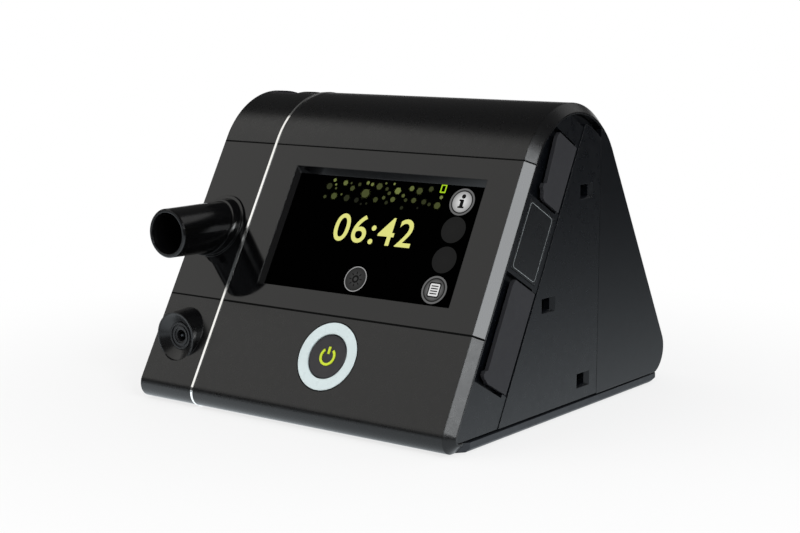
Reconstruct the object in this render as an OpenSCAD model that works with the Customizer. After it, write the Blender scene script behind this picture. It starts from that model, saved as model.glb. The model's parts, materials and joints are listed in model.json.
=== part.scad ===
// Bilevel PAP machine: wedge-shaped home breathing-therapy device, millimetres.
// Origin: centre of the footprint on the surface it stands on, +Z up, -Y is the display side.
// Scale comes from the 22 mm outlet cone that a breathing hose pushes onto.

/* [Body] */
// Overall width, left to right
body_w = 170; // [150:1:200]
// Overall depth, display side to back
body_d = 180; // [165:1:210]
// Overall height with the feet
body_h = 135; // [122:1:160]
// Radius of the rounded crest
top_r = 39.4; // [34:0.1:44]
// How far the crest's centre sits behind the middle
top_y = 1.8; // [-4:0.1:6]
// Radius of the roll at the bottom front edge
front_r = 6.6; // [4.4:0.1:8]
// Radius of the bottom rear edge
rear_r = 15.5; // [10:0.1:20]
// Bevel at the right end of the skins
edge_c = 3.8; // [2.5:0.1:3.9]
// Wall thickness of the skins
skin = 2.8; // [2.2:0.1:3.2]
// Width of the seams between skins
seam = 0.3; // [0.2:0.05:0.6]
// Height of the base tray's outer band above the feet
band_h = 3.8; // [3:0.1:5]
// How far the rubber feet stand out
foot_h = 0.6; // [0.5:0.1:1.5]
// Width of the hose module at the left end
module_w = 31.6; // [29:0.1:36]
// Width of the bright trim ring
trim_w = 1.2; // [0.8:0.1:2]

/* [Front face, lengths run up the slope from the ground] */
// Seam under the display panel
low_seam = 51.8; // [48:0.1:54]
// Seam over the display panel
up_seam = 128.1; // [123:0.1:129.5]
// Display opening, from its left edge to the trim ring
screen_left = 15.8; // [12:0.1:24]
// Display opening, from its right edge to the right side
screen_right = 18.6; // [16:0.1:28]
// Display opening, height up the slope
screen_h = 56.5; // [40:0.1:60]
// Display opening, centre up the slope
screen_s = 90.1; // [85:0.1:94]
// Power key centre from the middle
key_x = 14.1; // [4:0.1:30]
// Power key centre up the slope
key_s = 34.3; // [30:0.1:35.5]
// Radius of the bright ring around the power key
ring_r = 14.8; // [13:0.1:15.5]
// Radius of the power key's cap
key_r = 9.5; // [7:0.1:10]
// Travel of the power key
key_travel = 0.8; // [0.5:0.1:1]

/* [Hose module] */
// Radius of the outlet cone at its mouth, a 22 mm fitting
cone_r = 10.85; // [10.8:0.01:10.95]
// Taper of the outlet cone, one part in so many of its diameter
cone_taper = 40; // [38:1:42]
// Length of the tapered fitting
cone_len = 21; // [20:0.5:26]
// Bore radius of the air path
air_r = 8.6; // [8:0.1:9]
// Outlet axis above the ground
outlet_z = 75.6; // [72:0.1:77]
// How far the outlet's mouth stands in front of the middle
outlet_reach = 87.6; // [80:0.1:90]
// Heater socket axis above the ground
socket_z = 29; // [26:0.1:31]
// Outer radius of the heater socket's collar
socket_r = 10.9; // [9:0.1:11.4]
// Width of the release button
button_w = 16.4; // [12:0.1:18]
// Length of the release button, front to back
button_d = 20; // [16:0.5:22]
// Travel of the release button
button_travel = 2.2; // [1.5:0.1:2.6]

/* [Right side, d runs back from the front face and s up the slope] */
// Rear edge of the connector strip
strip_d = 30.9; // [28:0.1:33]
// Vertical seam behind the middle
side_seam_y = 22.5; // [15:0.1:30]
// Lower flap, bottom end
low_flap_s = 37.2; // [34:0.1:40]
// Lower flap, length
low_flap_l = 44; // [38:0.1:46]
// Upper flap, bottom end
up_flap_s = 117.8; // [115:0.1:119]
// Upper flap, length
up_flap_l = 30; // [26:0.1:31]
// Label plate, bottom end
label_s = 84.2; // [82:0.1:86]
// Label plate, length
label_l = 30.4; // [26:0.1:31]

/* [Blower] */
// Blower axis from the middle, left to right
blower_x = 22; // [18:0.1:28]
// Blower axis behind the middle
blower_y = 14; // [11:0.1:15]
// Outer radius of the blower housing
blower_r = 28; // [26:0.1:29]
// Number of impeller blades
blade_count = 11; // [7:1:15]

/* [Back] */
// Filter opening, width
filter_w = 56; // [44:0.5:62]
// Filter opening, height up the slope
filter_h = 34; // [28:0.5:38]
// Filter opening, centre up the slope
filter_t = 46; // [42:0.5:52]
// DC inlet from the middle
dc_x = -32; // [-38:0.5:-20]
// DC inlet up the slope
dc_t = 44; // [40:0.5:52]

/* [Hidden] */
$fn = 72;
// Centres of the crest, rear and front bottom rounds, as [y, z]
c1 = [top_y, body_h - top_r];
c2 = [body_d / 2 - rear_r, foot_h + rear_r];
c3 = [-body_d / 2 + front_r, foot_h + front_r];
// Outward normals of the front and rear faces
th_f = atan2(c1[1] - c3[1], c1[0] - c3[0]) + acos((front_r - top_r) / norm(c1 - c3));
th_r = atan2(c1[1] - c2[1], c1[0] - c2[0]) - acos((rear_r - top_r) / norm(c1 - c2));
nf = [cos(th_f), sin(th_f)];
nr = [cos(th_r), sin(th_r)];
tilt = atan2(nf[1], -nf[0]);
rtilt = atan2(nr[1], nr[0]);
// Plane offsets, and where the planes meet the ground
kf = nf * c3 + front_r;
kr = nr * c2 + rear_r;
front_y = kf / nf[0];
rear_y = kr / nr[0];
// Main stations along X
x_left = -body_w / 2;
x_right = body_w / 2;
ring_x0 = x_left + module_w;
ring_x1 = ring_x0 + trim_w;
mod_x1 = ring_x0 - 0.3;
mod_x = x_left + 16;
screen_w = x_right - ring_x1 - screen_left - screen_right;
screen_x = ring_x1 + screen_left + screen_w / 2;
side_t = 2.8;
land = 0.9;
base_z = foot_h + band_h;
// The flat faces sit this far inside the rounds, so that flat and round meet in a clean edge
lap = 0.003;
band_gap = 0.8;
shell_z = base_z + band_gap;
front_split_y = -body_d / 2 + 8.8;
rear_seam_a = 51;
// Depths behind the front face
glass_d = skin + 0.05;
lcd_d = glass_d + 1.1;
bracket_d = lcd_d + 5.2;
board_d = bracket_d + 5.8;
board_t = 1.6;
// Right side levels
panel_x = x_right - side_t;
pocket_x = x_right - 3.8;
strip_x = x_right - 5.2;
hinge_x = x_right - 1.2;
hinge_d = strip_d - 1.3;
// Blower levels
volute_z0 = outlet_z - 11;
volute_z1 = outlet_z + 11;
pipe_y = blower_y - 18;
box_z0 = 6;
box_z1 = volute_z0 - 6.2;
box_x0 = blower_x - 36;
box_x1 = blower_x + 40;
box_y0 = blower_y - 34;
box_y1 = body_d / 2 - 33;
// Screws in the base
screw_x = [box_x0 + 6, box_x1 - 6];
screw_y = [box_y0 + 6, box_y1 - 12];

// Point of the front face at s up the slope and d behind it, as [y, z]
function fp(s, d = 0) = [front_y + s * sin(tilt) + d * cos(tilt), s * cos(tilt) - d * sin(tilt)];
// Inner round of the front and rear bottom corners for an inset wall, as [y, z, r]
function corner_f(off) = let (r = max(front_r - off, 0.5), q = off + r, z = foot_h + q)
  [(kf - q - nf[1] * z) / nf[0], z, r];
function corner_r(off) = let (r = max(rear_r - off, 0.5), q = off + r, z = foot_h + q)
  [(kr - q - nr[1] * z) / nr[0], z, r];
function flat_pts(off) = let (f = corner_f(off), r = corner_r(off), t = top_r - off - lap)
  [c1 + t * nf, [f[0], f[1]] + (f[2] - lap) * nf, [f[0], f[1] - f[2] + lap], [r[0], r[1] - r[2] + lap],
   [r[0], r[1]] + (r[2] - lap) * nr, c1 + t * nr];

// Turns a shape drawn in Y and Z so that it grows along X
module on_yz(x = 0) {
  translate([x, 0, 0]) rotate([90, 0, 90]) children();
}
// Front face frame: x, then up the slope, then outwards
module on_front(x, s) {
  translate([x, front_y + s * sin(tilt), s * cos(tilt)]) rotate([90 - tilt, 0, 0]) children();
}
// Rear face frame: to the left, then up the slope, then outwards
module on_rear(x, t) {
  translate([x, rear_y - t * sin(rtilt), t * cos(rtilt)]) rotate([90 - rtilt, 0, 180]) children();
}
// Right side frame: behind the front face, up the slope, then outwards along X
module on_side(d = 0, s = 0, x = 0) {
  translate([0, front_y, 0]) rotate([90, 0, 90]) rotate([0, 0, -tilt]) translate([d, s, x]) children();
}
module box(a, b) {
  translate(a) cube(b - a);
}

// Side outline of the body, inset by off
module outline(off = 0) {
  f = corner_f(off);
  r = corner_r(off);
  polygon(flat_pts(off));
  translate(c1) circle(top_r - off, $fn = 144);
  translate([f[0], f[1]]) circle(f[2], $fn = 32);
  translate([r[0], r[1]]) circle(r[2]);
}
module slab(x0, x1, off = 0) {
  on_yz(x0) linear_extrude(x1 - x0) outline(off);
}
// Bevelled end: the full outline at x, drawn in by c at x + c
module bevel_end(x, c) {
  a = flat_pts(0);
  b = flat_pts(c);
  pts = concat([for (p = a) [p[0], p[1], 0]], [for (p = b) [p[0], p[1], c]]);
  f = corner_f(0);
  g = corner_f(c);
  on_yz(x) {
    polyhedron(pts, concat([[0, 1, 2, 3, 4, 5], [11, 10, 9, 8, 7, 6]],
      [for (i = [0:5]) [i, i + 6, (i + 1) % 6 + 6, (i + 1) % 6]]));
    translate([c1[0], c1[1], 0]) cylinder(h = c, r1 = top_r, r2 = top_r - c, $fn = 144);
    translate([f[0], f[1], 0]) cylinder(h = c, r1 = f[2], r2 = g[2], $fn = 32);
    translate([c2[0], c2[1], 0]) cylinder(h = c, r1 = rear_r, r2 = rear_r - c);
  }
}
module body(x0, x1, c) {
  slab(x0, x1 - c);
  slab(x0, x1, c);
  bevel_end(x1 - c, c);
}
// Prism across the whole width over a polygon in Y and Z
module zone(pts, x0 = -150, x1 = 150) {
  on_yz(x0) linear_extrude(x1 - x0) polygon(pts);
}
module zone_low() {
  zone([fp(low_seam - seam / 2, -8), fp(low_seam - seam / 2, 9),
    [front_split_y, 12], [front_split_y, -5], [-body_d, -5]]);
}
module zone_mid() {
  zone([fp(low_seam + seam / 2, -8), fp(up_seam - seam / 2, -8), fp(up_seam - seam / 2, 9),
    fp(low_seam + seam / 2, 9)]);
}
// Over the crest, down to the radial seam at the back
module zone_top(g = 0) {
  zone([fp(up_seam + seam / 2 - g, -40), fp(up_seam + seam / 2 - g, 30), c1,
    c1 + 90 * [cos(rear_seam_a - g), sin(rear_seam_a - g)], [40, body_h + 60], [-90, body_h + 60]]);
}
module zone_back() {
  a = rear_seam_a - 0.45;
  zone([c1, c1 + 90 * [cos(a), sin(a)], [body_d, body_h], [body_d, shell_z], [0, shell_z]]);
}
// Outer wall of the main body, with a land at its right end that frames the side panels
module skin_wall(c = edge_c) {
  difference() {
    body(ring_x1, x_right, c);
    slab(ring_x1 - 1, x_right - 4, skin);
    slab(x_right - 5, x_right + 1, edge_c + land);
  }
}
module mod_skin(core = false) {
  difference() {
    body_left(0.8, core);
    slab(x_left - 1, mod_x1 + 1, skin);
  }
}
// Module body with a small bevel at its left end
module body_left(c = 0.8, core = false) {
  slab(x_left + c, mod_x1);
  if (core) slab(x_left, mod_x1, c);
  mirror([1, 0, 0]) bevel_end(-x_left - c, c);
}
module hole_y(r, x, y0, y1, z) {
  translate([x, y1, z]) rotate([90, 0, 0]) cylinder(h = y1 - y0, r = r);
}
module hole_x(r, x0, x1, y, z) {
  translate([x0, y, z]) rotate([0, 90, 0]) cylinder(h = x1 - x0, r = r);
}
module rounded(w, h, t, r) {
  linear_extrude(t) {
    square([w - 2 * r, h], center = true);
    square([w, h - 2 * r], center = true);
    for (i = [-1, 1], j = [-1, 1]) translate([i * (w / 2 - r), j * (h / 2 - r)]) circle(r, $fn = 32);
  }
}

// Base tray: outer band, floor, inner locating rib and screw pads
module base_tray() {
  color("#2f3236") difference() {
    union() {
      intersection() {
        body(ring_x1, x_right, 1.2);
        difference() {
          box([ring_x1, front_split_y + seam, 0], [x_right + 1, body_d, base_z]);
          difference() {
            slab(ring_x1 + 2.6, x_right - 2.8, 2.8);
            box([-body_w, -body_d, 0], [body_w, body_d, foot_h + 2.2]);
          }
          linear_extrude(20) polygon([[x_right + 0.1, c2[0] + 4], [x_right + 9, c2[0] + 4], [x_right + 9, body_d],
            [x_right - edge_c, body_d], [x_right - edge_c, c2[0] + 10.2]]);
          linear_extrude(20) polygon([[x_right + 0.1, front_split_y + 5], [x_right + 9, front_split_y + 5],
            [x_right + 9, -body_d], [x_right - edge_c, -body_d], [x_right - edge_c, front_split_y]]);
        }
      }
      box([ring_x1 + 3.4, front_split_y + 4, foot_h + 2], [ring_x1 + 4.8, body_d / 2 - 18, shell_z + 3]);
      box([x_right - 7.4, front_split_y + 4, foot_h + 2], [x_right - 6, body_d / 2 - 18, shell_z + 3]);
      box([ring_x1 + 3.4, body_d / 2 - 19.4, foot_h + 2], [x_right - 6, body_d / 2 - 18, shell_z + 3]);
      for (x = screw_x, y = screw_y) translate([x, y, foot_h + 2]) cylinder(h = box_z0 - foot_h - 2, r = 5);
      for (x = [ring_x1 + 22, 0, x_right - 36]) box([x, front_split_y + 8, foot_h + 2], [x + 1.6, box_y0 - 4, 7]);
    }
    for (x = screw_x, y = screw_y) translate([x, y, 0]) {
      cylinder(h = foot_h + 2.4, r = 3.1);
      cylinder(h = 12, r = 1.7, $fn = 32);
    }
    for (p = foot_pos) translate([p[0], p[1], 0]) cylinder(h = foot_h + 0.8, r = 5.1);
    for (i = [-3:3]) box([blower_x + i * 6 - 1.5, box_y1 + 7, 0], [blower_x + i * 6 + 1.5, box_y1 + 15, foot_h + 4]);
  }
}
foot_y0 = -body_d / 2 + 20;
foot_y1 = body_d / 2 - 28;
foot_pos = [[ring_x1 + 9, foot_y0], [x_right - 12, foot_y0], [ring_x1 + 9, foot_y1], [x_right - 12, foot_y1]];
mod_foot_pos = [[mod_x - 3, foot_y0 - 4], [mod_x - 3, foot_y1]];
module rubber_foot(p) {
  color("#1c1c1e") translate([p[0], p[1], 0]) rotate_extrude(convexity = 4)
    polygon([[0, 0.3], [3.2, 0.3], [3.5, 0], [4.4, 0], [5, 0.5], [5, foot_h + 0.8], [0, foot_h + 0.8]]);
}
module base_screw(i) {
  p = [screw_x[i % 2], screw_y[floor(i / 2)]];
  color("#9a9da0") translate([p[0], p[1], 0]) difference() {
    union() {
      translate([0, 0, foot_h + 0.3]) cylinder(h = 2.1, r = 2.8, $fn = 48);
      translate([0, 0, foot_h + 2.3]) cylinder(h = 10.5, r = 1.4, $fn = 32);
    }
    for (a = [0, 90]) rotate(a) box([-1.7, -0.35, foot_h], [1.7, 0.35, foot_h + 1.5]);
  }
}

// Lower front panel with the power key's ring seat and opening
module front_panel() {
  color("#35363a") difference() {
    union() {
      intersection() {
        skin_wall();
        zone_low();
      }
      on_front(key_x, key_s) for (i = [-1, 1]) translate([i * 14, 0, -10.9]) cylinder(h = 10.9 - skin / 2, r = 2.4, $fn = 48);
      for (x = [-40, -18, 46, 68]) intersection() {
        box([x, -body_d, shell_z + 4], [x + 1.6, 0, body_h]);
        zone([fp(16, 2), fp(low_seam - 3, 2), fp(low_seam - 3, 4.4), fp(16, 6)]);
      }
      for (x = [-32, 50]) on_front(x, low_seam) {
        box([0, -6, -5.6], [12, 2.6, -skin - 0.05]);
        box([0, -6, -5.6], [12, -3, -skin + 0.5]);
      }
    }
    on_front(key_x, key_s) {
      translate([0, 0, -0.7]) cylinder(h = 3, r = ring_r + 0.15);
      translate([0, 0, -8]) cylinder(h = 12, r = key_r + 0.35);
      for (i = [-1, 1]) translate([i * 14, 0, -12]) cylinder(h = 8.5, r = 1.1, $fn = 32);
    }
  }
}
module key_ring() {
  color("#e4ecec") on_front(key_x, key_s) translate([0, 0, -0.7]) rotate_extrude()
    polygon([[key_r + 0.35, 0], [ring_r, 0], [ring_r, 0.75], [ring_r - 0.25, 0.95],
      [key_r + 0.8, 0.95], [key_r + 0.35, 0.7]]);
}
// Key cap: dished face, retaining flange and stem, one revolve
module power_key() {
  color("#2c2a2e") on_front(key_x, key_s) rotate_extrude() polygon([[0, -0.45], [4.4, -0.42],
    [key_r - 1.2, -0.2], [key_r - 0.4, -0.1], [key_r, -0.5], [key_r, -skin - 0.4],
    [10.9, -skin - 0.4], [10.9, -skin - 1.4], [3.1, -skin - 1.4], [3.1, key_travel - 8], [0, key_travel - 8]]);
}
// Power symbol: a ring broken at the top and a bar, inlaid on the key
module key_symbol() {
  color("#cfe02a") on_front(key_x, key_s) translate([0, 0, -0.5]) difference() {
    union() {
      intersection() {
        rotate([0, 0, 90 + 38]) rotate_extrude(angle = 284) translate([2.9, 0]) square([1.1, 0.42]);
        translate([0, 0, 0.08]) cylinder(h = 2, r = 8);
      }
      box([-0.55, 1.1, 0.07], [0.55, 4.3, 0.42]);
    }
    translate([0, 0, -0.4]) cylinder(h = 0.47, r = 8);
  }
}
// Small board behind the key, with a tact switch that the stem presses
module key_board() {
  color("#1f5a3c") on_front(key_x, key_s) {
    difference() {
      translate([0, 0, -12.4]) rounded(34, 19, 1.5, 2);
      for (i = [-1, 1]) translate([i * 14, 0, -14]) cylinder(h = 4, r = 1.3, $fn = 32);
    }
    translate([0, 0, -10.95]) {
      rounded(6.2, 6.2, 2, 0.8);
      cylinder(h = 2.6, r = 1.75, $fn = 32);
    }
    for (i = [-1, 1]) translate([i * 9, 5, -10.95]) rounded(2, 1.2, 0.6, 0.2);
  }
}

// Display panel: bevelled opening and four standoffs for the board
boss_x = [screen_x - screen_w / 2 - 7.4, screen_x + screen_w / 2 + 6.4];
boss_s = [low_seam + 5.4, up_seam - 4.2];
module display_panel() {
  color("#26272a") difference() {
    union() {
      intersection() {
        skin_wall();
        zone_mid();
      }
      for (x = boss_x, s = boss_s) on_front(x, s) translate([0, 0, -board_d]) cylinder(h = board_d - 1, r = 2.9, $fn = 48);
      difference() {
        on_front(screen_x, screen_s) box([-screen_w / 2 - 3.6, -screen_h / 2 - 3.0, -5.6], [screen_w / 2 + 2.4, screen_h / 2 + 2.6, -2]);
        on_front(screen_x, screen_s) box([-screen_w / 2 - 2.4, -screen_h / 2 - 1.9, -6], [screen_w / 2 + 1.2, screen_h / 2 + 1.5, -1]);
      }
    }
    on_front(screen_x, screen_s) hull() {
      box([-screen_w / 2, -screen_h / 2, -0.02], [screen_w / 2, screen_h / 2, 0.5]);
      box([-screen_w / 2 + 2, -screen_h / 2 + 0.8, -skin - 0.5], [screen_w / 2 - 1.4, screen_h / 2 - 3, -skin]);
    }
    for (x = boss_x, s = boss_s) on_front(x, s) translate([0, 0, -board_d - 1]) cylinder(h = 9, r = 1.1, $fn = 32);
  }
}
module touch_glass() {
  color("#0b0c0e") on_front(screen_x - 0.6, screen_s - 0.2) translate([0, 0, -lcd_d]) rounded(screen_w + 3, screen_h + 2.8, lcd_d - glass_d, 1);
}
module lcd_module() {
  color("#9aa0a4") on_front(screen_x - 0.6, screen_s - 0.2) difference() {
    box([-screen_w / 2 - 0.8, -screen_h / 2 - 0.8, -bracket_d], [screen_w / 2 + 0.8, screen_h / 2 + 0.8, -lcd_d]);
    for (i = [-1, 1]) box([i * screen_w / 4 - 12, -15, -bracket_d - 1], [i * screen_w / 4 + 12, 15, -bracket_d + 0.8]);
  }
}
module lcd_bracket() {
  color("#b9bcbe") difference() {
    union() {
      on_front(screen_x, screen_s) box([-screen_w / 2 - 4, -24, -bracket_d - 0.8], [screen_w / 2 + 3, 24, -bracket_d]);
      for (x = boss_x, s = boss_s) on_front(x, s) translate([0, 0, -bracket_d - 0.8]) cylinder(h = 0.8, r = 5.4);
      for (i = [0, 1]) on_front(boss_x[i], screen_s) box([-4, -34, -bracket_d - 0.8], [4, 34, -bracket_d]);
    }
    for (x = boss_x, s = boss_s) on_front(x, s) translate([0, 0, -bracket_d - 2]) cylinder(h = 4, r = 3);
    on_front(screen_x, screen_s) for (i = [-1, 1]) box([i * 26 - 15, -15, -bracket_d - 2], [i * 26 + 15, 15, -bracket_d + 1]);
  }
}
// Main board: L-shaped, its upper right corner reaches up to the service port
module main_board() {
  color("#1f5a3c") difference() {
    union() {
      on_front(0, 0) box([boss_x[0] - 4, 40, -board_d - board_t], [x_right - 6.4, up_seam, -board_d]);
      on_front(0, 0) box([x_right - 40, up_seam - 1, -board_d - board_t], [x_right - 6.4, up_seam + 15, -board_d]);
    }
    for (x = boss_x, s = boss_s) on_front(x, s) translate([0, 0, -board_d - 5]) cylinder(h = 10, r = 1.3, $fn = 32);
    on_front(0, 0) box([10, 30, -board_d - 5], [34, 47, -board_d + 5]);
  }
}
module board_parts() {
  z = -board_d - board_t;
  color("#2b2b2d") on_front(0, 0) {
    box([-20, 78, z - 1.4], [-6, 92, z]);
    box([4, 80, z - 1], [14, 90, z]);
    box([-34, 100, z - 1.2], [-24, 106, z]);
    for (i = [0:3]) translate([30 + i * 9, 112, z - 9]) cylinder(h = 9, r = 3.2, $fn = 32);
    box([-40, 52, z - 5], [-28, 60, z]);
    box([22, 52, z - 6], [32, 62, z]);
    translate([-36, 84, z - 3.2]) cylinder(h = 3.2, r = 8, $fn = 48);
    for (i = [0:5]) box([-22 + i * 4, 66, z - 0.6], [-20 + i * 4, 67.2, z]);
    translate([20, 100, z - 4]) cylinder(h = 4, r = 6, $fn = 48);
  }
}
// Service port behind the upper flap, opening to the right
module service_port() {
  color("#c9ccce") on_side(0, up_flap_s + 8, x_right) difference() {
    box([board_d + board_t, 0, -21], [board_d + board_t + 9, 15, -5.4]);
    box([board_d + board_t + 1, 1, -19], [board_d + board_t + 8, 14, 0]);
    box([board_d + board_t + 2.4, 14, -9], [board_d + board_t + 6.6, 14.6, 0]);
  }
}
// Card socket on the board behind the lower flap
card_s = low_flap_s + 9;
card_d = board_d + board_t + 1.1;
module card_socket() {
  color("#c3c6c9") on_side(0, card_s, x_right) difference() {
    box([board_d + board_t, -1.4, -33.6], [board_d + board_t + 4.3, 26.2, -6.6]);
    box([card_d - 0.4, -0.4, -32.4], [card_d + 2.5, 25.2, 0]);
    for (i = [0:5]) box([card_d + 1, 2 + i * 4, -40], [card_d + 1.6, 3 + i * 4, -30]);
  }
}
module memory_card() {
  color("#3b5f9e") on_side(card_d, card_s, x_right) difference() {
    box([0, 0.4, -31], [2.1, 24.4, -3]);
    box([-1, 21, -32], [3, 25, -28.4]);
    box([-1, -1, -10], [0.4, 26, -9]);
  }
}

// Top cover with the right-hand bevel and three inner ribs
module top_cover() {
  color("#2d2e31") {
    intersection() {
      skin_wall();
      zone_top();
    }
    for (x = [-20, 20, 60]) difference() {
      intersection() {
        slab(x, x + 1.6, skin - 0.2);
        zone_top(-2);
      }
      slab(x - 1, x + 3, skin + 3);
    }
  }
}

post_pos = [[-44, 70], [72, 40], [72, 84], [14, 92]];
// Rear shell: sloping back, right rear side, filter and inlet openings, filter well
module rear_shell() {
  color("#303236") difference() {
    union() {
      difference() {
        intersection() {
          difference() {
            body(ring_x1, x_right, edge_c);
            slab(ring_x1 - 1, panel_x, skin);
          }
          zone_back();
        }
        box([panel_x - 0.5, -body_d, 0], [x_right + 1, side_seam_y + seam / 2, body_h]);
      }
      intersection() {
        slab(panel_x, x_right, edge_c + land + seam);
        box([panel_x, side_seam_y + seam / 2, shell_z], [x_right + 1, body_d, body_h + 1]);
      }
      on_rear(blower_x + 2, filter_t) difference() {
        box([-filter_w / 2 - 2.4, -filter_h / 2 - 3.4, -13], [filter_w / 2 + 2.4, filter_h / 2 + 2.4, -skin / 2]);
        box([-filter_w / 2, -filter_h / 2, -11.4], [filter_w / 2, filter_h / 2, 1]);
        for (i = [-4:4]) box([i * 6 - 2.2, -filter_h / 2 + 3, -14], [i * 6 + 2.2, filter_h / 2 - 3, 0]);
      }
      on_rear(dc_x, dc_t) translate([0, 0, -6]) difference() {
        cylinder(h = 6 - skin / 2, r = 8.6);
        translate([0, 0, -1]) cylinder(h = 9, r = 6.7);
      }
      for (p = post_pos) on_rear(p[0], p[1]) translate([0, 0, -12]) cylinder(h = 12 - skin / 2, r = 3.2);
    }
    on_rear(blower_x + 2, filter_t) translate([0, 0, -skin - 2]) {
      linear_extrude(9) square([filter_w, filter_h], center = true);
      translate([0, -filter_h / 2, 0]) box([-filter_w / 2, -2.2, 0], [filter_w / 2, 1, 9]);
    }
    on_rear(blower_x + 2, filter_t) translate([-8, filter_h / 2 - 1, -0.9]) cube([16, 4, 4]);
    on_rear(dc_x, dc_t) {
      translate([0, 0, -9]) cylinder(h = 12, r = 6.7);
      translate([0, 0, -0.8]) cylinder(h = 3, r = 9.4);
    }
    for (p = post_pos) on_rear(p[0], p[1]) translate([0, 0, -13]) cylinder(h = 9, r = 1.3, $fn = 32);
    for (s = [-1, 1]) on_rear(blower_x + 2, filter_t - filter_h / 2 - 0.2)
      translate([s * (filter_w / 2), 0, -1.7]) rotate([0, 90, 0]) cylinder(h = 3.4, r = 0.75, center = true, $fn = 32);
  }
}
// Filter cover: louvred door on two pins at its lower edge
module filter_cover() {
  w = filter_w - 1;
  hb = -filter_h / 2 - 0.2;
  color("#303236") on_rear(blower_x + 2, filter_t) difference() {
    union() {
      box([-w / 2, hb, -skin + 0.2], [w / 2, filter_h / 2 - 0.4, -0.1]);
      translate([0, hb, -1.7]) rotate([0, 90, 0]) cylinder(h = w, r = 1.6, center = true, $fn = 48);
      translate([0, hb, -1.7]) rotate([0, 90, 0]) cylinder(h = filter_w + 2, r = 0.7, center = true, $fn = 32);
      box([-6, filter_h / 2 - 1, -0.8], [6, filter_h / 2 + 1.6, -0.1]);
      for (i = [-1, 1]) box([i * 18 - 3, filter_h / 2 - 4, -4.6], [i * 18 + 3, filter_h / 2 - 2.6, -skin + 0.4]);
    }
    for (i = [-3:2]) translate([0, i * 4.3 + 1, -1.4]) rotate([38, 0, 0]) cube([w - 12, 1.7, 5], center = true);
  }
}
// Filter pad: pleated block, its folds running from side to side
module filter_pad() {
  n = 10;
  h = filter_h - 0.8;
  st = h / n;
  color("#e9e9e4") on_rear(blower_x + 2, filter_t) translate([-filter_w / 2 + 0.4, 0, 0]) rotate([90, 0, 90])
    linear_extrude(filter_w - 0.8) polygon(concat([[-h / 2, -11.4]],
      [for (i = [0:n - 1]) each [[-h / 2 + i * st + 0.2, -7.4], [-h / 2 + (i + 0.5) * st, -5.4]]], [[h / 2, -7.4], [h / 2, -11.4]]));
}
// DC inlet: stepped barrel socket with its centre contact
module dc_inlet() {
  color("#1b1c1e") on_rear(dc_x, dc_t) {
    rotate_extrude() polygon([[2.75, -10], [6.6, -10], [6.6, -0.8], [9.2, -0.8], [9.2, -0.2],
      [8.8, 0], [3.6, 0], [2.75, -0.9]]);
    translate([0, 0, -12]) cylinder(h = 2.01, r = 6.6);
    translate([0, 0, -10.1]) cylinder(h = 7.6, r = 1, $fn = 32);
  }
}

// Right side panel with three tapered latch windows
latch_pos = [[10.8, 96.8], [-19.2, 51.2], [10.6, 13.9]];
module side_panel() {
  color("#3a3c41") difference() {
    intersection() {
      slab(panel_x, x_right, edge_c + land + seam);
      zone([fp(-20, strip_d + seam), fp(190, strip_d + seam), [side_seam_y - seam / 2, body_h],
        [side_seam_y - seam / 2, shell_z], [-80, shell_z]]);
    }
    difference() {
      box([panel_x - 1, -60, c1[1] - 4], [x_right + 1, 60, body_h]);
      slab(panel_x - 2, x_right + 2, edge_c + land + 3.8);
    }
    for (p = latch_pos) translate([x_right, p[0], p[1]]) {
      box([-5, -3.6, -2.4], [1, 3.6, 2.4]);
      hull() {
        box([0, -5.4, -3.2], [0.2, 5.4, 3.2]);
        box([-1.8, -3.6, -2.4], [-1.7, 3.6, 2.4]);
      }
    }
  }
  color("#3a3c41") for (p = latch_pos) translate([panel_x, p[0], p[1]]) difference() {
    box([-2.2, -6, -4.4], [0, 6, 4.4]);
    box([-3, -3.6, -2.4], [1, 3.6, 2.4]);
  }
}
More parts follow.
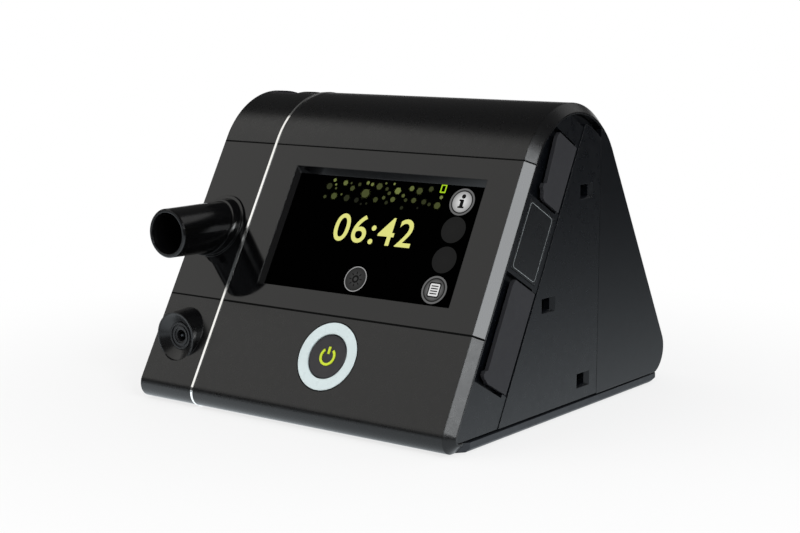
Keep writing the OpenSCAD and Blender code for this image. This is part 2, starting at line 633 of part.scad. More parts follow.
// Strip behind the bevel: two pockets with hinge posts and windows, and a label seat
module strip_outline() {
  polygon([[edge_c + land + 0.2, 4], [strip_d, -14], [strip_d, 158], [edge_c + land + 0.2, 158]]);
}
module connector_strip() {
  p = edge_c + land + 0.5;
  color("#26282b") difference() {
    union() {
      intersection() {
        slab(strip_x, x_right - 0.3, edge_c + land + seam);
        on_side(0, 0, strip_x) linear_extrude(6) strip_outline();
        box([0, -body_d, shell_z], [x_right, body_d, body_h]);
      }
      intersection() {
        slab(strip_x, pocket_x, edge_c + land + seam);
        zone([fp(128, 8), fp(200, 8), [side_seam_y - seam / 2, body_h + 30], [side_seam_y - seam / 2, c1[1] + 10], fp(128, strip_d)]);
        difference() {
          box([0, -body_d, c1[1] - 4], [x_right, body_d, body_h]);
          slab(strip_x - 1, x_right, edge_c + land + 5.6);
        }
      }
    }
    on_side(0, 0, pocket_x) difference() {
      box([p, low_flap_s - 2, 0], [strip_d - 2.6, low_flap_s + low_flap_l + 1, 5]);
      for (s = [low_flap_s - 2.01, low_flap_s + low_flap_l + 0.4]) box([hinge_d - 2.2, s, -1], [strip_d + 1, s + 1.61, 5]);
    }
    on_side(0, 0, pocket_x) box([hinge_d - 1.6, low_flap_s - 0.4, 0], [strip_d + 1, low_flap_s + low_flap_l + 0.4, 5]);
    on_side(0, 0, pocket_x) box([p, up_flap_s - 1.6, 0], [strip_d - 2.6, up_flap_s + up_flap_l + 1, 5]);
    on_side(0, 0, pocket_x) box([hinge_d - 1.6, up_flap_s - 0.4, 0], [strip_d + 1, up_flap_s + up_flap_l + 0.4, 5]);
    on_side(0, 0, x_right - 0.9) box([7.2, label_s - 0.2, 0], [28.2, label_s + label_l + 0.2, 3]);
    on_side(0, 0, strip_x - 1) {
      box([card_d - 0.7, card_s - 0.7, 0], [card_d + 2.8, card_s + 25.5, 5]);
      box([card_d - 3, card_s + 8, 0], [card_d + 5, card_s + 17, 5]);
      box([board_d + board_t + 0.6, up_flap_s + 8.6, 0], [board_d + board_t + 8.4, up_flap_s + 22.4, 5]);
    }
    for (f = [[low_flap_s, low_flap_l], [up_flap_s, up_flap_l]]) on_side(hinge_d, f[0] + f[1] / 2, hinge_x)
      rotate([90, 0, 0]) cylinder(h = f[1] + 3.4, r = 0.75, center = true, $fn = 32);
  }
}
module label_plate() {
  color("#1f2124") on_side(0, 0, x_right - 0.9) box([7.4, label_s, 0], [28, label_s + label_l, 0.7]);
}
// Flap outline as [d, s] measured from its lower end, with a finger notch and tab
module flap(s0, len, edge, tab) {
  color("#3c3d42") {
    on_side(0, s0, x_right - 1.9) linear_extrude(1.8) polygon(concat([[hinge_d, 0], [hinge_d, len]],
      [[edge[1], len], [edge[1] - 1, len - 2.4], [edge[0], tab + 1.8], [edge[0] - 1.8, tab + 0.9],
       [edge[0] - 2, tab - 0.9], [edge[0] - 0.6, tab - 2], [edge[0] + 0.6, 0.8], [edge[0] + 2, 0]]));
    on_side(hinge_d, s0, hinge_x) translate([0, len, 0]) rotate([90, 0, 0]) cylinder(h = len, r = 1.1, $fn = 48);
    on_side(hinge_d, s0, hinge_x) translate([0, len + 1.3, 0]) rotate([90, 0, 0]) cylinder(h = len + 2.6, r = 0.7, $fn = 32);
    for (k = [0.3, 0.7]) on_side(0, s0 + len * k, x_right - 2.5) box([edge[0] + 2, -0.5, 0], [hinge_d - 2.4, 0.5, 0.7]);
  }
}

// Bright ring between the main body and the hose module
module trim_ring() {
  color("#eef1f2") difference() {
    slab(ring_x0, ring_x1, -0.25);
    slab(ring_x0 - 1, ring_x1 + 1, 2);
  }
}
// Wall that the hose module docks against, with the air port and the latch slot
module dock_wall() {
  color("#2a2c30") difference() {
    union() {
      intersection() {
        slab(ring_x1, ring_x1 + 2, skin + 0.1);
        box([-body_w, -body_d, shell_z], [0, body_d, body_h]);
      }
      hole_x(13.4, ring_x1 + 1, ring_x1 + 4, pipe_y, outlet_z);
    }
    hole_x(10.8, ring_x1 - 1, ring_x1 + 6, pipe_y, outlet_z);
    box([ring_x1 - 1, latch_y - 3.4, latch_z - button_travel - 0.8], [ring_x1 + 4, latch_y + 3.4, latch_z + 3]);
    box([ring_x1 - 1, -52, 22], [ring_x1 + 4, -34, 32]);
    for (p = pin_pos) hole_x(1.9, ring_x1 - 1, ring_x1 + 4, p[0], p[1], $fn = 32);
  }
}
// Latch finger of the release button: middle and underside
latch_y = top_y + 2;
latch_z = body_h - 17.4;
// Locating pins of the hose module, as [y, z]
pin_pos = [[-body_d / 2 + 30, 16], [body_d / 2 - 28, 16], [20, body_h - 29]];

// Silencer box under the blower, open at the back towards the filter
module silencer_box() {
  color("#3b3e42") difference() {
    union() {
      box([box_x0, box_y0, box_z0], [box_x1, box_y1, box_z1 - 2.2]);
      for (x = [box_x0 - 6, box_x1], z = [box_z1 - 12]) box([x, box_y0 + 8, z], [x + 6, box_y0 + 20, z + 3]);
    }
    box([box_x0 + 2, box_y0 + 2, box_z0 + 12.6], [box_x1 - 2, box_y1 - 2, box_z1]);
    box([box_x0 + 12, box_y0 + 2, box_z0 + 2], [box_x1 - 12, box_y1 - 2, box_z1]);
    box([box_x0 + 2, box_y0 + 12, box_z0 + 2], [box_x1 - 2, box_y1 - 18, box_z1]);
    box([blower_x - 22, box_y1 - 4, box_z0 + 14], [blower_x + 26, box_y1 + 2,
      min(box_z1 - 6, rear_height(box_y1 - 2) - 3)]);
    for (x = screw_x, y = screw_y) translate([x, y, box_z0 - 1]) cylinder(h = 11, r = 1.45, $fn = 32);
    zone([[box_y1 - 30, -5], [box_y1 + 40, -5], [rear_edge(-5), -5], [rear_edge(120), 120], [body_d, 120], [body_d, -20], [box_y1 - 30, -20]]);
  }
}
// Inner face of the rear shell at height z, and its height at depth y
function rear_edge(z) = (kr - skin - 10.6 - nr[1] * z) / nr[0];
function rear_height(y) = (kr - skin - 10.6 - nr[0] * y) / nr[1];
module silencer_lid() {
  color("#3b3e42") difference() {
    union() {
      intersection() {
        box([box_x0, box_y0, box_z1 - 2.2], [box_x1, box_y1, box_z1]);
        zone([[-100, 0], [rear_edge(0), 0], [rear_edge(120), 120], [-100, 120]]);
      }
      translate([blower_x, blower_y, box_z1 - 1]) cylinder(h = 2.4, r = 14);
      translate([blower_x, blower_y, box_z1 - 8]) cylinder(h = 7, r = 12.4);
    }
    translate([blower_x, blower_y, box_z1 - 12]) cylinder(h = 30, r = 10.6);
  }
}
module silencer_foam() {
  color("#55585c") difference() {
    box([box_x0 + 2.4, box_y0 + 12.4, box_z0 + 13], [box_x1 - 2.4, box_y1 - 20, box_z1 - 2.6]);
    translate([blower_x, blower_y, box_z0 + 10]) cylinder(h = 60, r = 13.4);
    box([blower_x - 11, blower_y, box_z0 + 18], [blower_x + 11, 100, box_z1 - 10]);
  }
}
// Soft boot between silencer and blower: lipped bellows, one revolve
module blower_boot() {
  color("#c9cdd0") translate([blower_x, blower_y, 0]) rotate_extrude(convexity = 6) {
    polygon([[10.6, box_z1 + 1.4], [15.4, box_z1 + 1.4], [15.4, box_z1 + 2.6], [13.6, box_z1 + 3.2],
      [15.2, box_z1 + 4], [15.2, box_z1 + 5], [13, box_z1 + 6.2], [11, box_z1 + 6.2],
      [12.4, box_z1 + 4.6], [12.2, box_z1 + 3.4], [10.6, box_z1 + 2.6]]);
  }
}
module volute_half(up) {
  s = up ? 1 : -1;
  for (a = [35, 125, 215, 305]) translate([blower_x, blower_y, outlet_z]) rotate(a)
    translate([blower_r + 1.6, 0, up ? 0 : -3]) cylinder(h = 3, r = 3, $fn = 32);
  translate([blower_x, blower_y, outlet_z]) mirror([0, 0, up ? 0 : 1]) rotate_extrude()
    polygon([[0, 0], [blower_r + 1.6, 0], [blower_r + 1.6, 1.8], [blower_r, 1.8], [blower_r, 7.4],
      [blower_r - 3.6, 11], [0, 11]]);
  intersection() {
    hole_x(10.4, ring_x1 + 9.4, blower_x, pipe_y, outlet_z);
    box([-100, -100, up ? outlet_z : 0], [100, 100, up ? 200 : outlet_z]);
  }
}
module volute_hollow() {
  translate([blower_x, blower_y, 0]) rotate_extrude()
    polygon([[0, volute_z0 + 2], [23, volute_z0 + 2], [blower_r - 2, volute_z0 + 5], [blower_r - 2, volute_z1 - 5],
      [23, volute_z1 - 2], [0, volute_z1 - 2]]);
  hole_x(air_r, ring_x1 + 8, blower_x - 4, pipe_y, outlet_z);
  for (a = [35, 125, 215, 305]) translate([blower_x, blower_y, outlet_z]) rotate(a)
    translate([blower_r + 2.2, 0, -6]) cylinder(h = 12, r = 1.1, $fn = 32);
}
module blower_lower() {
  color("#b8bcc0") difference() {
    volute_half(false);
    volute_hollow();
    translate([blower_x, blower_y, volute_z0 - 5]) cylinder(h = 10, r = 11);
  }
}
module blower_upper() {
  color("#b8bcc0") difference() {
    volute_half(true);
    volute_hollow();
    translate([blower_x, blower_y, volute_z1 - 5]) cylinder(h = 10, r = 3.2, $fn = 48);
  }
}
// Impeller: hub, back disc and swept blades, turning inside the housing
module impeller() {
  h0 = volute_z0 + 5;
  h1 = volute_z1 - 4.6;
  color("#e6e7e4") translate([blower_x, blower_y, 0]) difference() {
    union() {
      rotate_extrude() polygon([[0, h0 + 2], [2, h0 + 2], [4.4, h0 + 5], [5.4, h1 - 3], [9, h1 - 1.4], [23.4, h1 - 1.2],
        [23.4, h1], [0, h1]]);
      for (i = [0:blade_count - 1]) rotate(i * 360 / blade_count) intersection() {
        translate([14, -13, h0]) difference() {
          cylinder(h = h1 - h0 - 1, r = 16.4, $fn = 48);
          translate([0, 0, -1]) cylinder(h = 40, r = 15.4, $fn = 48);
        }
        difference() {
          translate([0, 0, h0]) cylinder(h = h1 - h0 - 1, r1 = 21, r2 = 23.2);
          translate([0, 0, h0 - 1]) cylinder(h = 40, r = 8.6);
        }
        box([0, 0, h0], [30, 30, h1]);
      }
    }
    translate([0, 0, h0]) cylinder(h = 40, r = 1.5, $fn = 32);
  }
}
module rotor_shaft() {
  color("#8f9396") translate([blower_x, blower_y, 0]) {
    translate([0, 0, volute_z0 + 8]) cylinder(h = volute_z1 - volute_z0 - 8 + 17.2, r = 1.5, $fn = 32);
    translate([0, 0, volute_z1 + 3.4]) difference() {
      cylinder(h = 8.6, r = 7.6);
      translate([0, 0, -1]) cylinder(h = 12, r = 1.5, $fn = 32);
      for (i = [0:3]) rotate(i * 90) translate([7.6, 0, -1]) cylinder(h = 12, r = 0.6, $fn = 24);
    }
  }
}
// Motor can on top of the blower, with a bearing at each end
module motor_can() {
  color("#a7abae") translate([blower_x, blower_y, volute_z1]) difference() {
    union() {
      cylinder(h = 15.6, r = 14.6);
      cylinder(h = 17.6, r = 5);
      cylinder(h = 1.2, r = 17.6);
    }
    translate([0, 0, 2]) cylinder(h = 11.8, r = 13.2);
    translate([0, 0, -1]) cylinder(h = 30, r = 1.55, $fn = 32);
    for (i = [0:5]) rotate(i * 60) translate([9.6, 0, 12]) cylinder(h = 6, r = 1.8, $fn = 32);
  }
}
module motor_stator() {
  color("#b06a3a") translate([blower_x, blower_y, volute_z1 + 2.4]) difference() {
    cylinder(h = 10.8, r = 13);
    translate([0, 0, -1]) cylinder(h = 20, r = 8.4);
    for (i = [0:5]) rotate(i * 60 + 30) translate([10.9, 0, -1]) cylinder(h = 20, r = 1.6, $fn = 32);
  }
}
// Soft sleeve between the blower's pipe and the dock wall: bellows, one revolve
module outlet_sleeve() {
  x0 = ring_x1 + 4;
  color("#c9cdd0") translate([x0, pipe_y, outlet_z]) rotate([0, 90, 0]) rotate_extrude(convexity = 6)
    polygon([[10.9, 0], [13.4, 0], [13.4, 1.4], [12.2, 2], [13.8, 2.9], [13.8, 3.7], [12.2, 4.6], [12.6, 5.4],
      [12.6, 11], [10.45, 11], [10.45, 5.6], [10.9, 5]]);
}

// Hose module: left side, back, bottom and docking wall in one shell
module module_shell() {
  color("#2f3034") difference() {
    union() {
      difference() {
        body_left();
        slab(x_left + 2.6, mod_x1 - 2.4, skin);
        for (k = [0:2]) difference() {
          if (k == 0) zone_top(1);
          if (k == 1) zone([fp(low_seam - 1, -9), fp(up_seam + 1, -9), fp(up_seam + 1, 9), fp(low_seam - 1, 9)]);
          if (k == 2) zone([fp(low_seam, -9), fp(low_seam, 9), [front_split_y + 0.3, 12], [front_split_y + 0.3, -5], [-body_d, -5]]);
          slab(x_left - 1, mod_x1 + 1, skin + 0.15);
        }
      }
      for (p = pin_pos) {
        hole_x(1.5, mod_x1 - 1, ring_x1 + 1.4, p[0], p[1], $fn = 32);
        hole_x(3.4, mod_x1 - 5, mod_x1, p[0], p[1], $fn = 32);
      }
      box([mod_x - 9, latch_y - 4.5, latch_z - 10.6], [mod_x1 - 2, latch_y + 4.5, latch_z - 8.9]);
      for (y = [-62, -30, 2, 34, 66]) intersection() {
        box([x_left + 2, y, foot_h + skin - 0.2], [mod_x1 - 2, y + 1.6, foot_h + skin + 4]);
        slab(x_left, mod_x1, 1);
      }
    }
    hole_x(10.5, mod_x1 - 8, mod_x1 + 1, pipe_y, outlet_z);
    box([mod_x1 - 5, latch_y - 4, latch_z - button_travel - 0.8], [mod_x1 + 1, latch_y + 4, latch_z + 8]);
    box([mod_x1 - 5, -50, 23], [mod_x1 + 1, -36, 31]);
    for (p = mod_foot_pos) translate([p[0], p[1], 0]) cylinder(h = foot_h + 0.8, r = 5.1);
  }
}
module module_top() {
  bx = mod_x - 3.4;
  color("#2f3034") difference() {
    union() {
      intersection() {
        mod_skin();
        zone_top();
      }
      box([bx - button_w / 2 - 1.8, latch_y - button_d / 2 - 1.8, body_h - 9],
        [bx + button_w / 2 + 1.8, latch_y + button_d / 2 + 1.8, body_h - 3.2]);
    }
    box([bx - button_w / 2 - 0.35, latch_y - button_d / 2 - 0.35, body_h - 12], [bx + button_w / 2 + 0.35, latch_y + button_d / 2 + 0.35, body_h + 2]);
    box([bx + button_w / 2 + 2.4, -60, body_h - 0.7], [mod_x1 + 1, 60, body_h + 2]);
  }
}
// Glossy middle panel of the module, pierced by the outlet
module module_panel() {
  color("#26272a") difference() {
    intersection() {
      mod_skin(true);
      zone_mid();
    }
    hole_y(12.3, mod_x, -100, 0, outlet_z);
  }
}
// Lower panel of the module with the raised heater socket collar
module module_low() {
  sy = front_y + socket_z * tan(tilt);
  color("#35363a") difference() {
    union() {
      intersection() {
        mod_skin();
        zone_low();
      }
      intersection() {
        translate([mod_x, sy - 4.2, socket_z]) rotate([-90, 0, 0]) cylinder(h = 22, r1 = socket_r, r2 = socket_r + 1.6);
        zone([fp(0, -30), fp(80, -30), fp(80, skin + 2.4), fp(0, skin + 2.4)]);
      }
    }
    translate([mod_x, sy - 4.4, socket_z]) rotate([-90, 0, 0]) cylinder(h = 3.3, r1 = socket_r - 0.5, r2 = 6.3);
    hole_y(socket_r - 0.5, mod_x, sy - 20, sy - 4.39, socket_z);
    hole_y(6.05, mod_x, sy - 5, sy + 30, socket_z);
  }
}
// Outlet: tapered cone, straight run, bend and docking spigot
module outlet_tube() {
  y0 = -outlet_reach;
  yb = pipe_y - 13;
  xs = mod_x + 13;
  r1 = cone_r;
  r2 = cone_r + cone_len / cone_taper / 2;
  color("#131416") {
    translate([mod_x, y0, outlet_z]) rotate([-90, 0, 0]) rotate_extrude(convexity = 6)
      polygon([[air_r + 0.7, 0], [r1 - 0.5, 0], [r1, 0.6], [r2, cone_len], [r2, yb - y0], [air_r, yb - y0], [air_r, 2.2]]);
    translate([xs, yb, outlet_z]) rotate([0, 0, 90]) rotate_extrude(angle = 90, convexity = 6) translate([13, 0])
      difference() {
        circle(10.4);
        circle(air_r);
      }
    difference() {
      hole_x(10.4, xs, ring_x1 + 3.4, pipe_y, outlet_z);
      hole_x(air_r, xs - 1, ring_x1 + 9, pipe_y, outlet_z);
    }
  }
}
// Collar round the outlet, cut parallel to the sloping panel in two steps
module outlet_collar() {
  r0 = cone_r + cone_len / cone_taper / 2;
  color("#18191b") difference() {
    union() {
      intersection() {
        hole_y(12.1, mod_x, -100, 0, outlet_z);
        zone([fp(20, -5.2), fp(150, -5.2), fp(150, skin + 1.6), fp(20, skin + 1.6)]);
      }
      intersection() {
        hole_y(13.3, mod_x, -100, 0, outlet_z);
        zone([fp(20, -1), fp(150, -1), fp(150, 0), fp(20, 0)]);
      }
    }
    hole_y(r0 + 0.02, mod_x, -101, 1, outlet_z);
  }
}
// Heater contact inside the collar: stepped rings round a blind bore
module heater_jack() {
  sy = front_y + socket_z * tan(tilt);
  color("#1a1b1d") translate([mod_x, sy - 1.4, socket_z]) rotate([-90, 0, 0]) rotate_extrude(convexity = 6)
    polygon([[2.6, 9], [0, 9], [0, 11], [6, 11], [6, 0], [5.2, 0], [5.2, 0.6], [4.4, 0.6], [4.4, 0.1], [3.4, 0.1], [3.4, 0.7], [2.6, 0.9]]);
}
module jack_pin() {
  sy = front_y + socket_z * tan(tilt);
  color("#8a7a58") translate([mod_x, sy - 1.4, socket_z]) rotate([-90, 0, 0]) rotate_extrude()
    polygon([[0, 1.2], [0.5, 1.2], [0.9, 1.9], [0.9, 9], [0, 9]]);
}
// Release button in the crest: scooped thumb rest with a latch finger
module release_button() {
  bx = mod_x - 3.4;
  x0 = bx - button_w / 2;
  x1 = bx + button_w / 2;
  color("#26272a") difference() {
    union() {
      intersection() {
        box([x0, latch_y - button_d / 2, body_h - 8], [x1, latch_y + button_d / 2, body_h]);
        slab(x_left, 0, 0);
      }
      box([x0 + 3, latch_y - 3, latch_z], [x1 - 3, latch_y + 3, body_h - 7.9]);
      box([x0 + 3, latch_y - 2.8, latch_z], [ring_x1 + 1.4, latch_y + 2.8, latch_z + 2.4]);
    }
    translate([bx, latch_y + 1, body_h + 14.6]) rotate([0, 90, 0]) cylinder(h = button_w - 2.4, r = 17.4, center = true);
  }
}
// Return spring of the release button, a swept coil
module button_spring() {
  bx = mod_x - 3.4;
  n = 12;
  turns = 4;
  w = 0.45;
  r = 2.8;
  p = 1.88;
  rings = [for (i = [0:n * turns]) let (a = i * 360 / n) [for (k = [0:5]) let (b = k * 60)
    [(r + w * cos(b)) * cos(a), (r + w * cos(b)) * sin(a), p * a / 360 + w * sin(b)]]];
  pts = [for (q = rings) each q];
  m = n * turns;
  color("#c4c7c9") translate([bx, latch_y, latch_z - 8.44]) {
    polyhedron(pts, concat([[for (k = [0:5]) k]], [[for (k = [5:-1:0]) m * 6 + k]],
      [for (i = [0:m - 1], k = [0:5]) [i * 6 + k, (i + 1) * 6 + k, (i + 1) * 6 + (k + 1) % 6, i * 6 + (k + 1) % 6]]));
  }
}

base_tray();
front_panel();
display_panel();
top_cover();
rear_shell();
side_panel();
connector_strip();
label_plate();
flap(up_flap_s, up_flap_l, [15.2, 14.2], 5.4);  // upper_flap
flap(low_flap_s, low_flap_l, [12.4, 13.2], 3);  // lower_flap
trim_ring();
dock_wall();
touch_glass();
lcd_module();
lcd_bracket();
main_board();
board_parts();
service_port();
card_socket();
memory_card();
key_ring();
power_key();
key_symbol();
key_board();
silencer_box();
silencer_lid();
silencer_foam();
blower_boot();
blower_lower();
blower_upper();
impeller();
rotor_shaft();
motor_can();
motor_stator();
outlet_sleeve();
filter_cover();
filter_pad();
dc_inlet();
base_screw(0);  // base_screw_1
base_screw(1);  // base_screw_2
base_screw(2);  // base_screw_3
base_screw(3);  // base_screw_4
rubber_foot(foot_pos[0]);  // foot_1
rubber_foot(foot_pos[1]);  // foot_2
rubber_foot(foot_pos[2]);  // foot_3
rubber_foot(foot_pos[3]);  // foot_4
module_shell();
module_top();
module_panel();
module_low();
outlet_tube();
outlet_collar();
heater_jack();
jack_pin();
release_button();
button_spring();
rubber_foot(mod_foot_pos[0]);  // module_foot_1
rubber_foot(mod_foot_pos[1]);  // module_foot_2
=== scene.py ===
# %% [markdown]
# # A bedside breathing machine
# The solids of this machine already exist: every part was drawn in a CAD program and packed in
# one file. This lesson dresses them. It adds a camera, a studio, a finish for each part, the
# picture on the display and a few thin lines, and it leaves the sizes alone. Blender's lengths
# are in metres; the new pieces are small, so they are written in millimetres and multiplied by MM.

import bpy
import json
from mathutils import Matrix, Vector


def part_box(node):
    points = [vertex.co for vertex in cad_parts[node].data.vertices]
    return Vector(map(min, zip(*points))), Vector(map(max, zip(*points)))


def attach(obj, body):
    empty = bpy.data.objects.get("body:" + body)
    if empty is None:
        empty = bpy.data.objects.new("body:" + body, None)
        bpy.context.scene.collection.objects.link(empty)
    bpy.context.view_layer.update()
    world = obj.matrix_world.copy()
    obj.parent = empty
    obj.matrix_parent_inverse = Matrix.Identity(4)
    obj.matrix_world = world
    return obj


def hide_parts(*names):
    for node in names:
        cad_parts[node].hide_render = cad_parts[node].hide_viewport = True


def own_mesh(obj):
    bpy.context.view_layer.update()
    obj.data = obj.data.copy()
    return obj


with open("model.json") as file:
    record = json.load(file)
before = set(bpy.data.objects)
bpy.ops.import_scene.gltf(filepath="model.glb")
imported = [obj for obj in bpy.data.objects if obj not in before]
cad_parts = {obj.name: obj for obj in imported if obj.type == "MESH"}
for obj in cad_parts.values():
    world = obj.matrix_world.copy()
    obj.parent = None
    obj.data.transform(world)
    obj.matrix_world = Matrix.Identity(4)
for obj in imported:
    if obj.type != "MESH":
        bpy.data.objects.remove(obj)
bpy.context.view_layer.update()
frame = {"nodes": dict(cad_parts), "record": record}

import bpy
import json
import math
import random
from mathutils import Matrix, Vector

MM = 0.001
scene = bpy.context.scene


# %% [markdown]
# ## The camera
# The camera stands in front of the machine's right corner, a little above its top. Its place and
# its turn were worked out from the seams and corners in the photograph, so here they are only
# written down: where it stands, and which way right, up and forward point for it. A lens of 70 mm
# gives the flat, calm look of a product picture. The picture was cut from a wider one, so the
# view is shifted a little to the left and down.

# %% Camera
MIDDLE = Vector((0, 0, 0.06))
stand = Vector((0.420144, -0.566049, 0.166270))
right = Vector((0.823638, 0.567025, 0.010123))
up = Vector((-0.081793, 0.101108, 0.991507))
forward = Vector((-0.561186, 0.817471, -0.129656))

lens = bpy.data.cameras.new("camera")
lens.lens = 69.789
lens.sensor_width = 36
lens.shift_x, lens.shift_y = -0.0875, -0.0456
lens.clip_start = 0.01
camera = bpy.data.objects.new("camera", lens)
scene.collection.objects.link(camera)
turn = Matrix((right, up, -forward)).transposed().to_4x4()
camera.matrix_world = Matrix.Translation(stand) @ turn
scene.camera = camera
scene.view_settings.view_transform = "Standard"
print("camera stands", round((stand - MIDDLE).length / MM), "mm from the middle of the machine")

# %% [markdown]
# ## Small helpers
# A shader is only boxes and wires. These helpers add a box and fill its sockets, each with a plain
# value or with a wire from another box, and a few kinds of box that come again and again get a
# helper of their own. Blender counts colour in light, not in the steps of a screen, so a colour
# picked from a picture is turned into light first.

# %% Colours, boxes and wires
def tone(red, green, blue):
    """A screen colour, 0 to 255 a channel, as Blender's light values."""
    part = [c / 255 for c in (red, green, blue)]
    light = [c / 12.92 if c <= 0.04045 else ((c + 0.055) / 1.055) ** 2.4 for c in part]
    return tuple(light) + (1.0,)


def scaled(colour, factor):
    """A colour that is darker or lighter by this factor."""
    return tuple(c * factor for c in colour[:3]) + (1.0,)


def feed(tree, socket, value):
    """Gives a socket a plain value, or wires another box's socket to it."""
    if isinstance(value, bpy.types.NodeSocket):
        tree.links.new(value, socket)
    else:
        socket.default_value = value


def fill(tree, box, **sockets):
    """Feeds the sockets of a box by name, with _ for each space in the name."""
    for name, value in sockets.items():
        feed(tree, box.inputs[name.replace("_", " ")], value)
    return box


def add(tree, kind, **sockets):
    """A new box of this kind, with these sockets fed."""
    return fill(tree, tree.nodes.new(kind), **sockets)


print("half of white on a screen is", round(tone(128, 128, 128)[0], 3), "of its light")


# %% Boxes that come again and again
def number(tree, operation, first, second=0.0):
    """One step of arithmetic, such as MULTIPLY."""
    box = add(tree, "ShaderNodeMath")
    box.operation = operation
    feed(tree, box.inputs[0], first)
    feed(tree, box.inputs[1], second)
    return box.outputs[0]


def vectors(tree, operation, first, second):
    """One step with vectors; a DISTANCE or a DOT_PRODUCT comes out as a number."""
    box = add(tree, "ShaderNodeVectorMath")
    box.operation = operation
    feed(tree, box.inputs[0], first)
    feed(tree, box.inputs[1], second)
    return box.outputs["Vector" if operation == "MULTIPLY" else "Value"]


def ramp(tree, value, start, end, first=0.0, last=1.0, shape="LINEAR"):
    """Goes from first to last while the value goes from start to end."""
    box = add(tree, "ShaderNodeMapRange", Value=value, From_Min=start, From_Max=end,
              To_Min=first, To_Max=last)
    box.interpolation_type = shape
    return box.outputs[0]


def mixed(tree, factor, first, second, kind="FLOAT"):
    """The first where the factor is 0, the second where it is 1; RGBA is the kind for colours."""
    box = add(tree, "ShaderNodeMix")
    box.data_type = kind
    return fill(tree, box, Factor=factor, A=first, B=second).outputs["Result"]


def ray_kinds(tree):
    """1 for a ray from the camera, and 1 for a ray that a glossy or clear surface sends out."""
    path = add(tree, "ShaderNodeLightPath").outputs
    sent = number(tree, "MAXIMUM", path["Is Glossy Ray"], path["Is Transmission Ray"])
    return path["Is Camera Ray"], sent


print("helpers for arithmetic, ramps and mixtures are ready")

# %% [markdown]
# ## The studio
# A black machine shows its shape only by what it mirrors, so the room is part of the picture.
# Mirrored rays see a dark room with a low white backdrop behind the machine and a dim window at
# its right. Matt surfaces get an even fill from all sides. The camera itself sees plain white
# wherever it looks past the machine.

# %% World
# How bright mirrored rays see the room and the window, and how bright matt surfaces see it all.
DARK_ROOM, WINDOW, FILL = 0.06, 0.1, 0.52

world = bpy.data.worlds.new("studio")
scene.world = world
world.use_nodes = True
tree = world.node_tree
tree.nodes.clear()
sight = add(tree, "ShaderNodeTexCoord").outputs["Generated"]


def card(towards, edge, full):
    """1 where a ray looks towards this direction, falling to 0 at the edge (both as cosines)."""
    return ramp(tree, vectors(tree, "DOT_PRODUCT", sight, towards), edge, full,
                shape="SMOOTHSTEP")


# The backdrop lies behind the machine and doesn't reach high; the window is at the right.
behind = card((-0.566, 0.824, 0), 0.5, 0.85)
not_high = card((0, 0, -1), -0.22, -0.02)
at_right = card((0.93, -0.1, 0.35), 0.88, 0.97)
cards = number(tree, "ADD", number(tree, "MULTIPLY", behind, not_high),
               number(tree, "MULTIPLY", at_right, WINDOW))
from_camera, mirrored = ray_kinds(tree)
room = mixed(tree, mirrored, FILL, number(tree, "ADD", cards, DARK_ROOM))
sky = add(tree, "ShaderNodeBackground", Color=(1, 1, 1, 1),
          Strength=mixed(tree, from_camera, room, 1.0))
add(tree, "ShaderNodeOutputWorld", Surface=sky.outputs[0])
print("world:", len(tree.nodes), "boxes,", len(tree.links), "wires")

# %% [markdown]
# ## The floor
# The floor is pale and matt. Near the machine it takes the soft shadow; further out it melts into
# the white background, so that no horizon line crosses the picture. What the machine mirrors of
# the floor is brightest at the front left, fades with distance and is a little bluish. A dark
# patch there, like a black card on a table, keeps the bevel over the display dark.

# %% Floor
FLOOR_SIZE = 12
# The bright place in the mirrored floor: its middle, how fast it fades, and its strength.
POOL_PLACE, POOL_FADE, POOL_LIGHT = (-0.15, -0.2), 3.0, 1.9
# The dark patch: its middle, how many times longer it is along X, its light, and its soft edge.
PATCH_PLACE, PATCH_LONG, PATCH_LIGHT = (-0.108, -0.163), 3.0, 0.1
PATCH_EDGE = (0.022, 0.045)
# Between these distances the floor that the camera sees melts into white.
MELT_FROM, MELT_TO, MELT_LEAST = 0.11, 0.34, 0.76
PLAIN, BLUISH = (1, 1, 1, 1), (0.88, 0.95, 1.0, 1)

bpy.ops.object.select_all(action="DESELECT")
bpy.ops.mesh.primitive_grid_add(x_subdivisions=8, y_subdivisions=8, size=FLOOR_SIZE)
floor = bpy.context.object
floor.name = "floor"
paper = bpy.data.materials.new("studio_paper")
paper.use_nodes = True
tree = paper.node_tree
tree.nodes.clear()
place = add(tree, "ShaderNodeTexCoord").outputs["Object"]


def distance_from(x, y, long=1.0):
    """How far a point of the floor lies from x, y, with long times less weight along X."""
    squeezed = vectors(tree, "MULTIPLY", place, (1.0 / long, 1.0, 1.0))
    return vectors(tree, "DISTANCE", squeezed, (x / long, y, 0))


melt = ramp(tree, distance_from(0, 0), MELT_FROM, MELT_TO, MELT_LEAST, 1.0, "SMOOTHSTEP")
pool = number(tree, "EXPONENT", number(tree, "MULTIPLY", distance_from(*POOL_PLACE), -POOL_FADE))
patch = ramp(tree, distance_from(*PATCH_PLACE, PATCH_LONG), *PATCH_EDGE, PATCH_LIGHT, 1.0,
             "SMOOTHSTEP")
pool = number(tree, "MULTIPLY", number(tree, "MULTIPLY", pool, patch), POOL_LIGHT)
from_camera, mirrored = ray_kinds(tree)
matt = add(tree, "ShaderNodeBsdfDiffuse", Color=(0.93, 0.93, 0.93, 1))
white = add(tree, "ShaderNodeEmission", Strength=mixed(tree, mirrored, 1.0, pool),
            Color=mixed(tree, mirrored, PLAIN, BLUISH, "RGBA"))
share = number(tree, "ADD", number(tree, "MULTIPLY", from_camera, melt), mirrored)
mix = add(tree, "ShaderNodeMixShader", Fac=share)
feed(tree, mix.inputs[1], matt.outputs[0])
feed(tree, mix.inputs[2], white.outputs[0])
add(tree, "ShaderNodeOutputMaterial", Surface=mix.outputs[0])
floor.data.materials.append(paper)
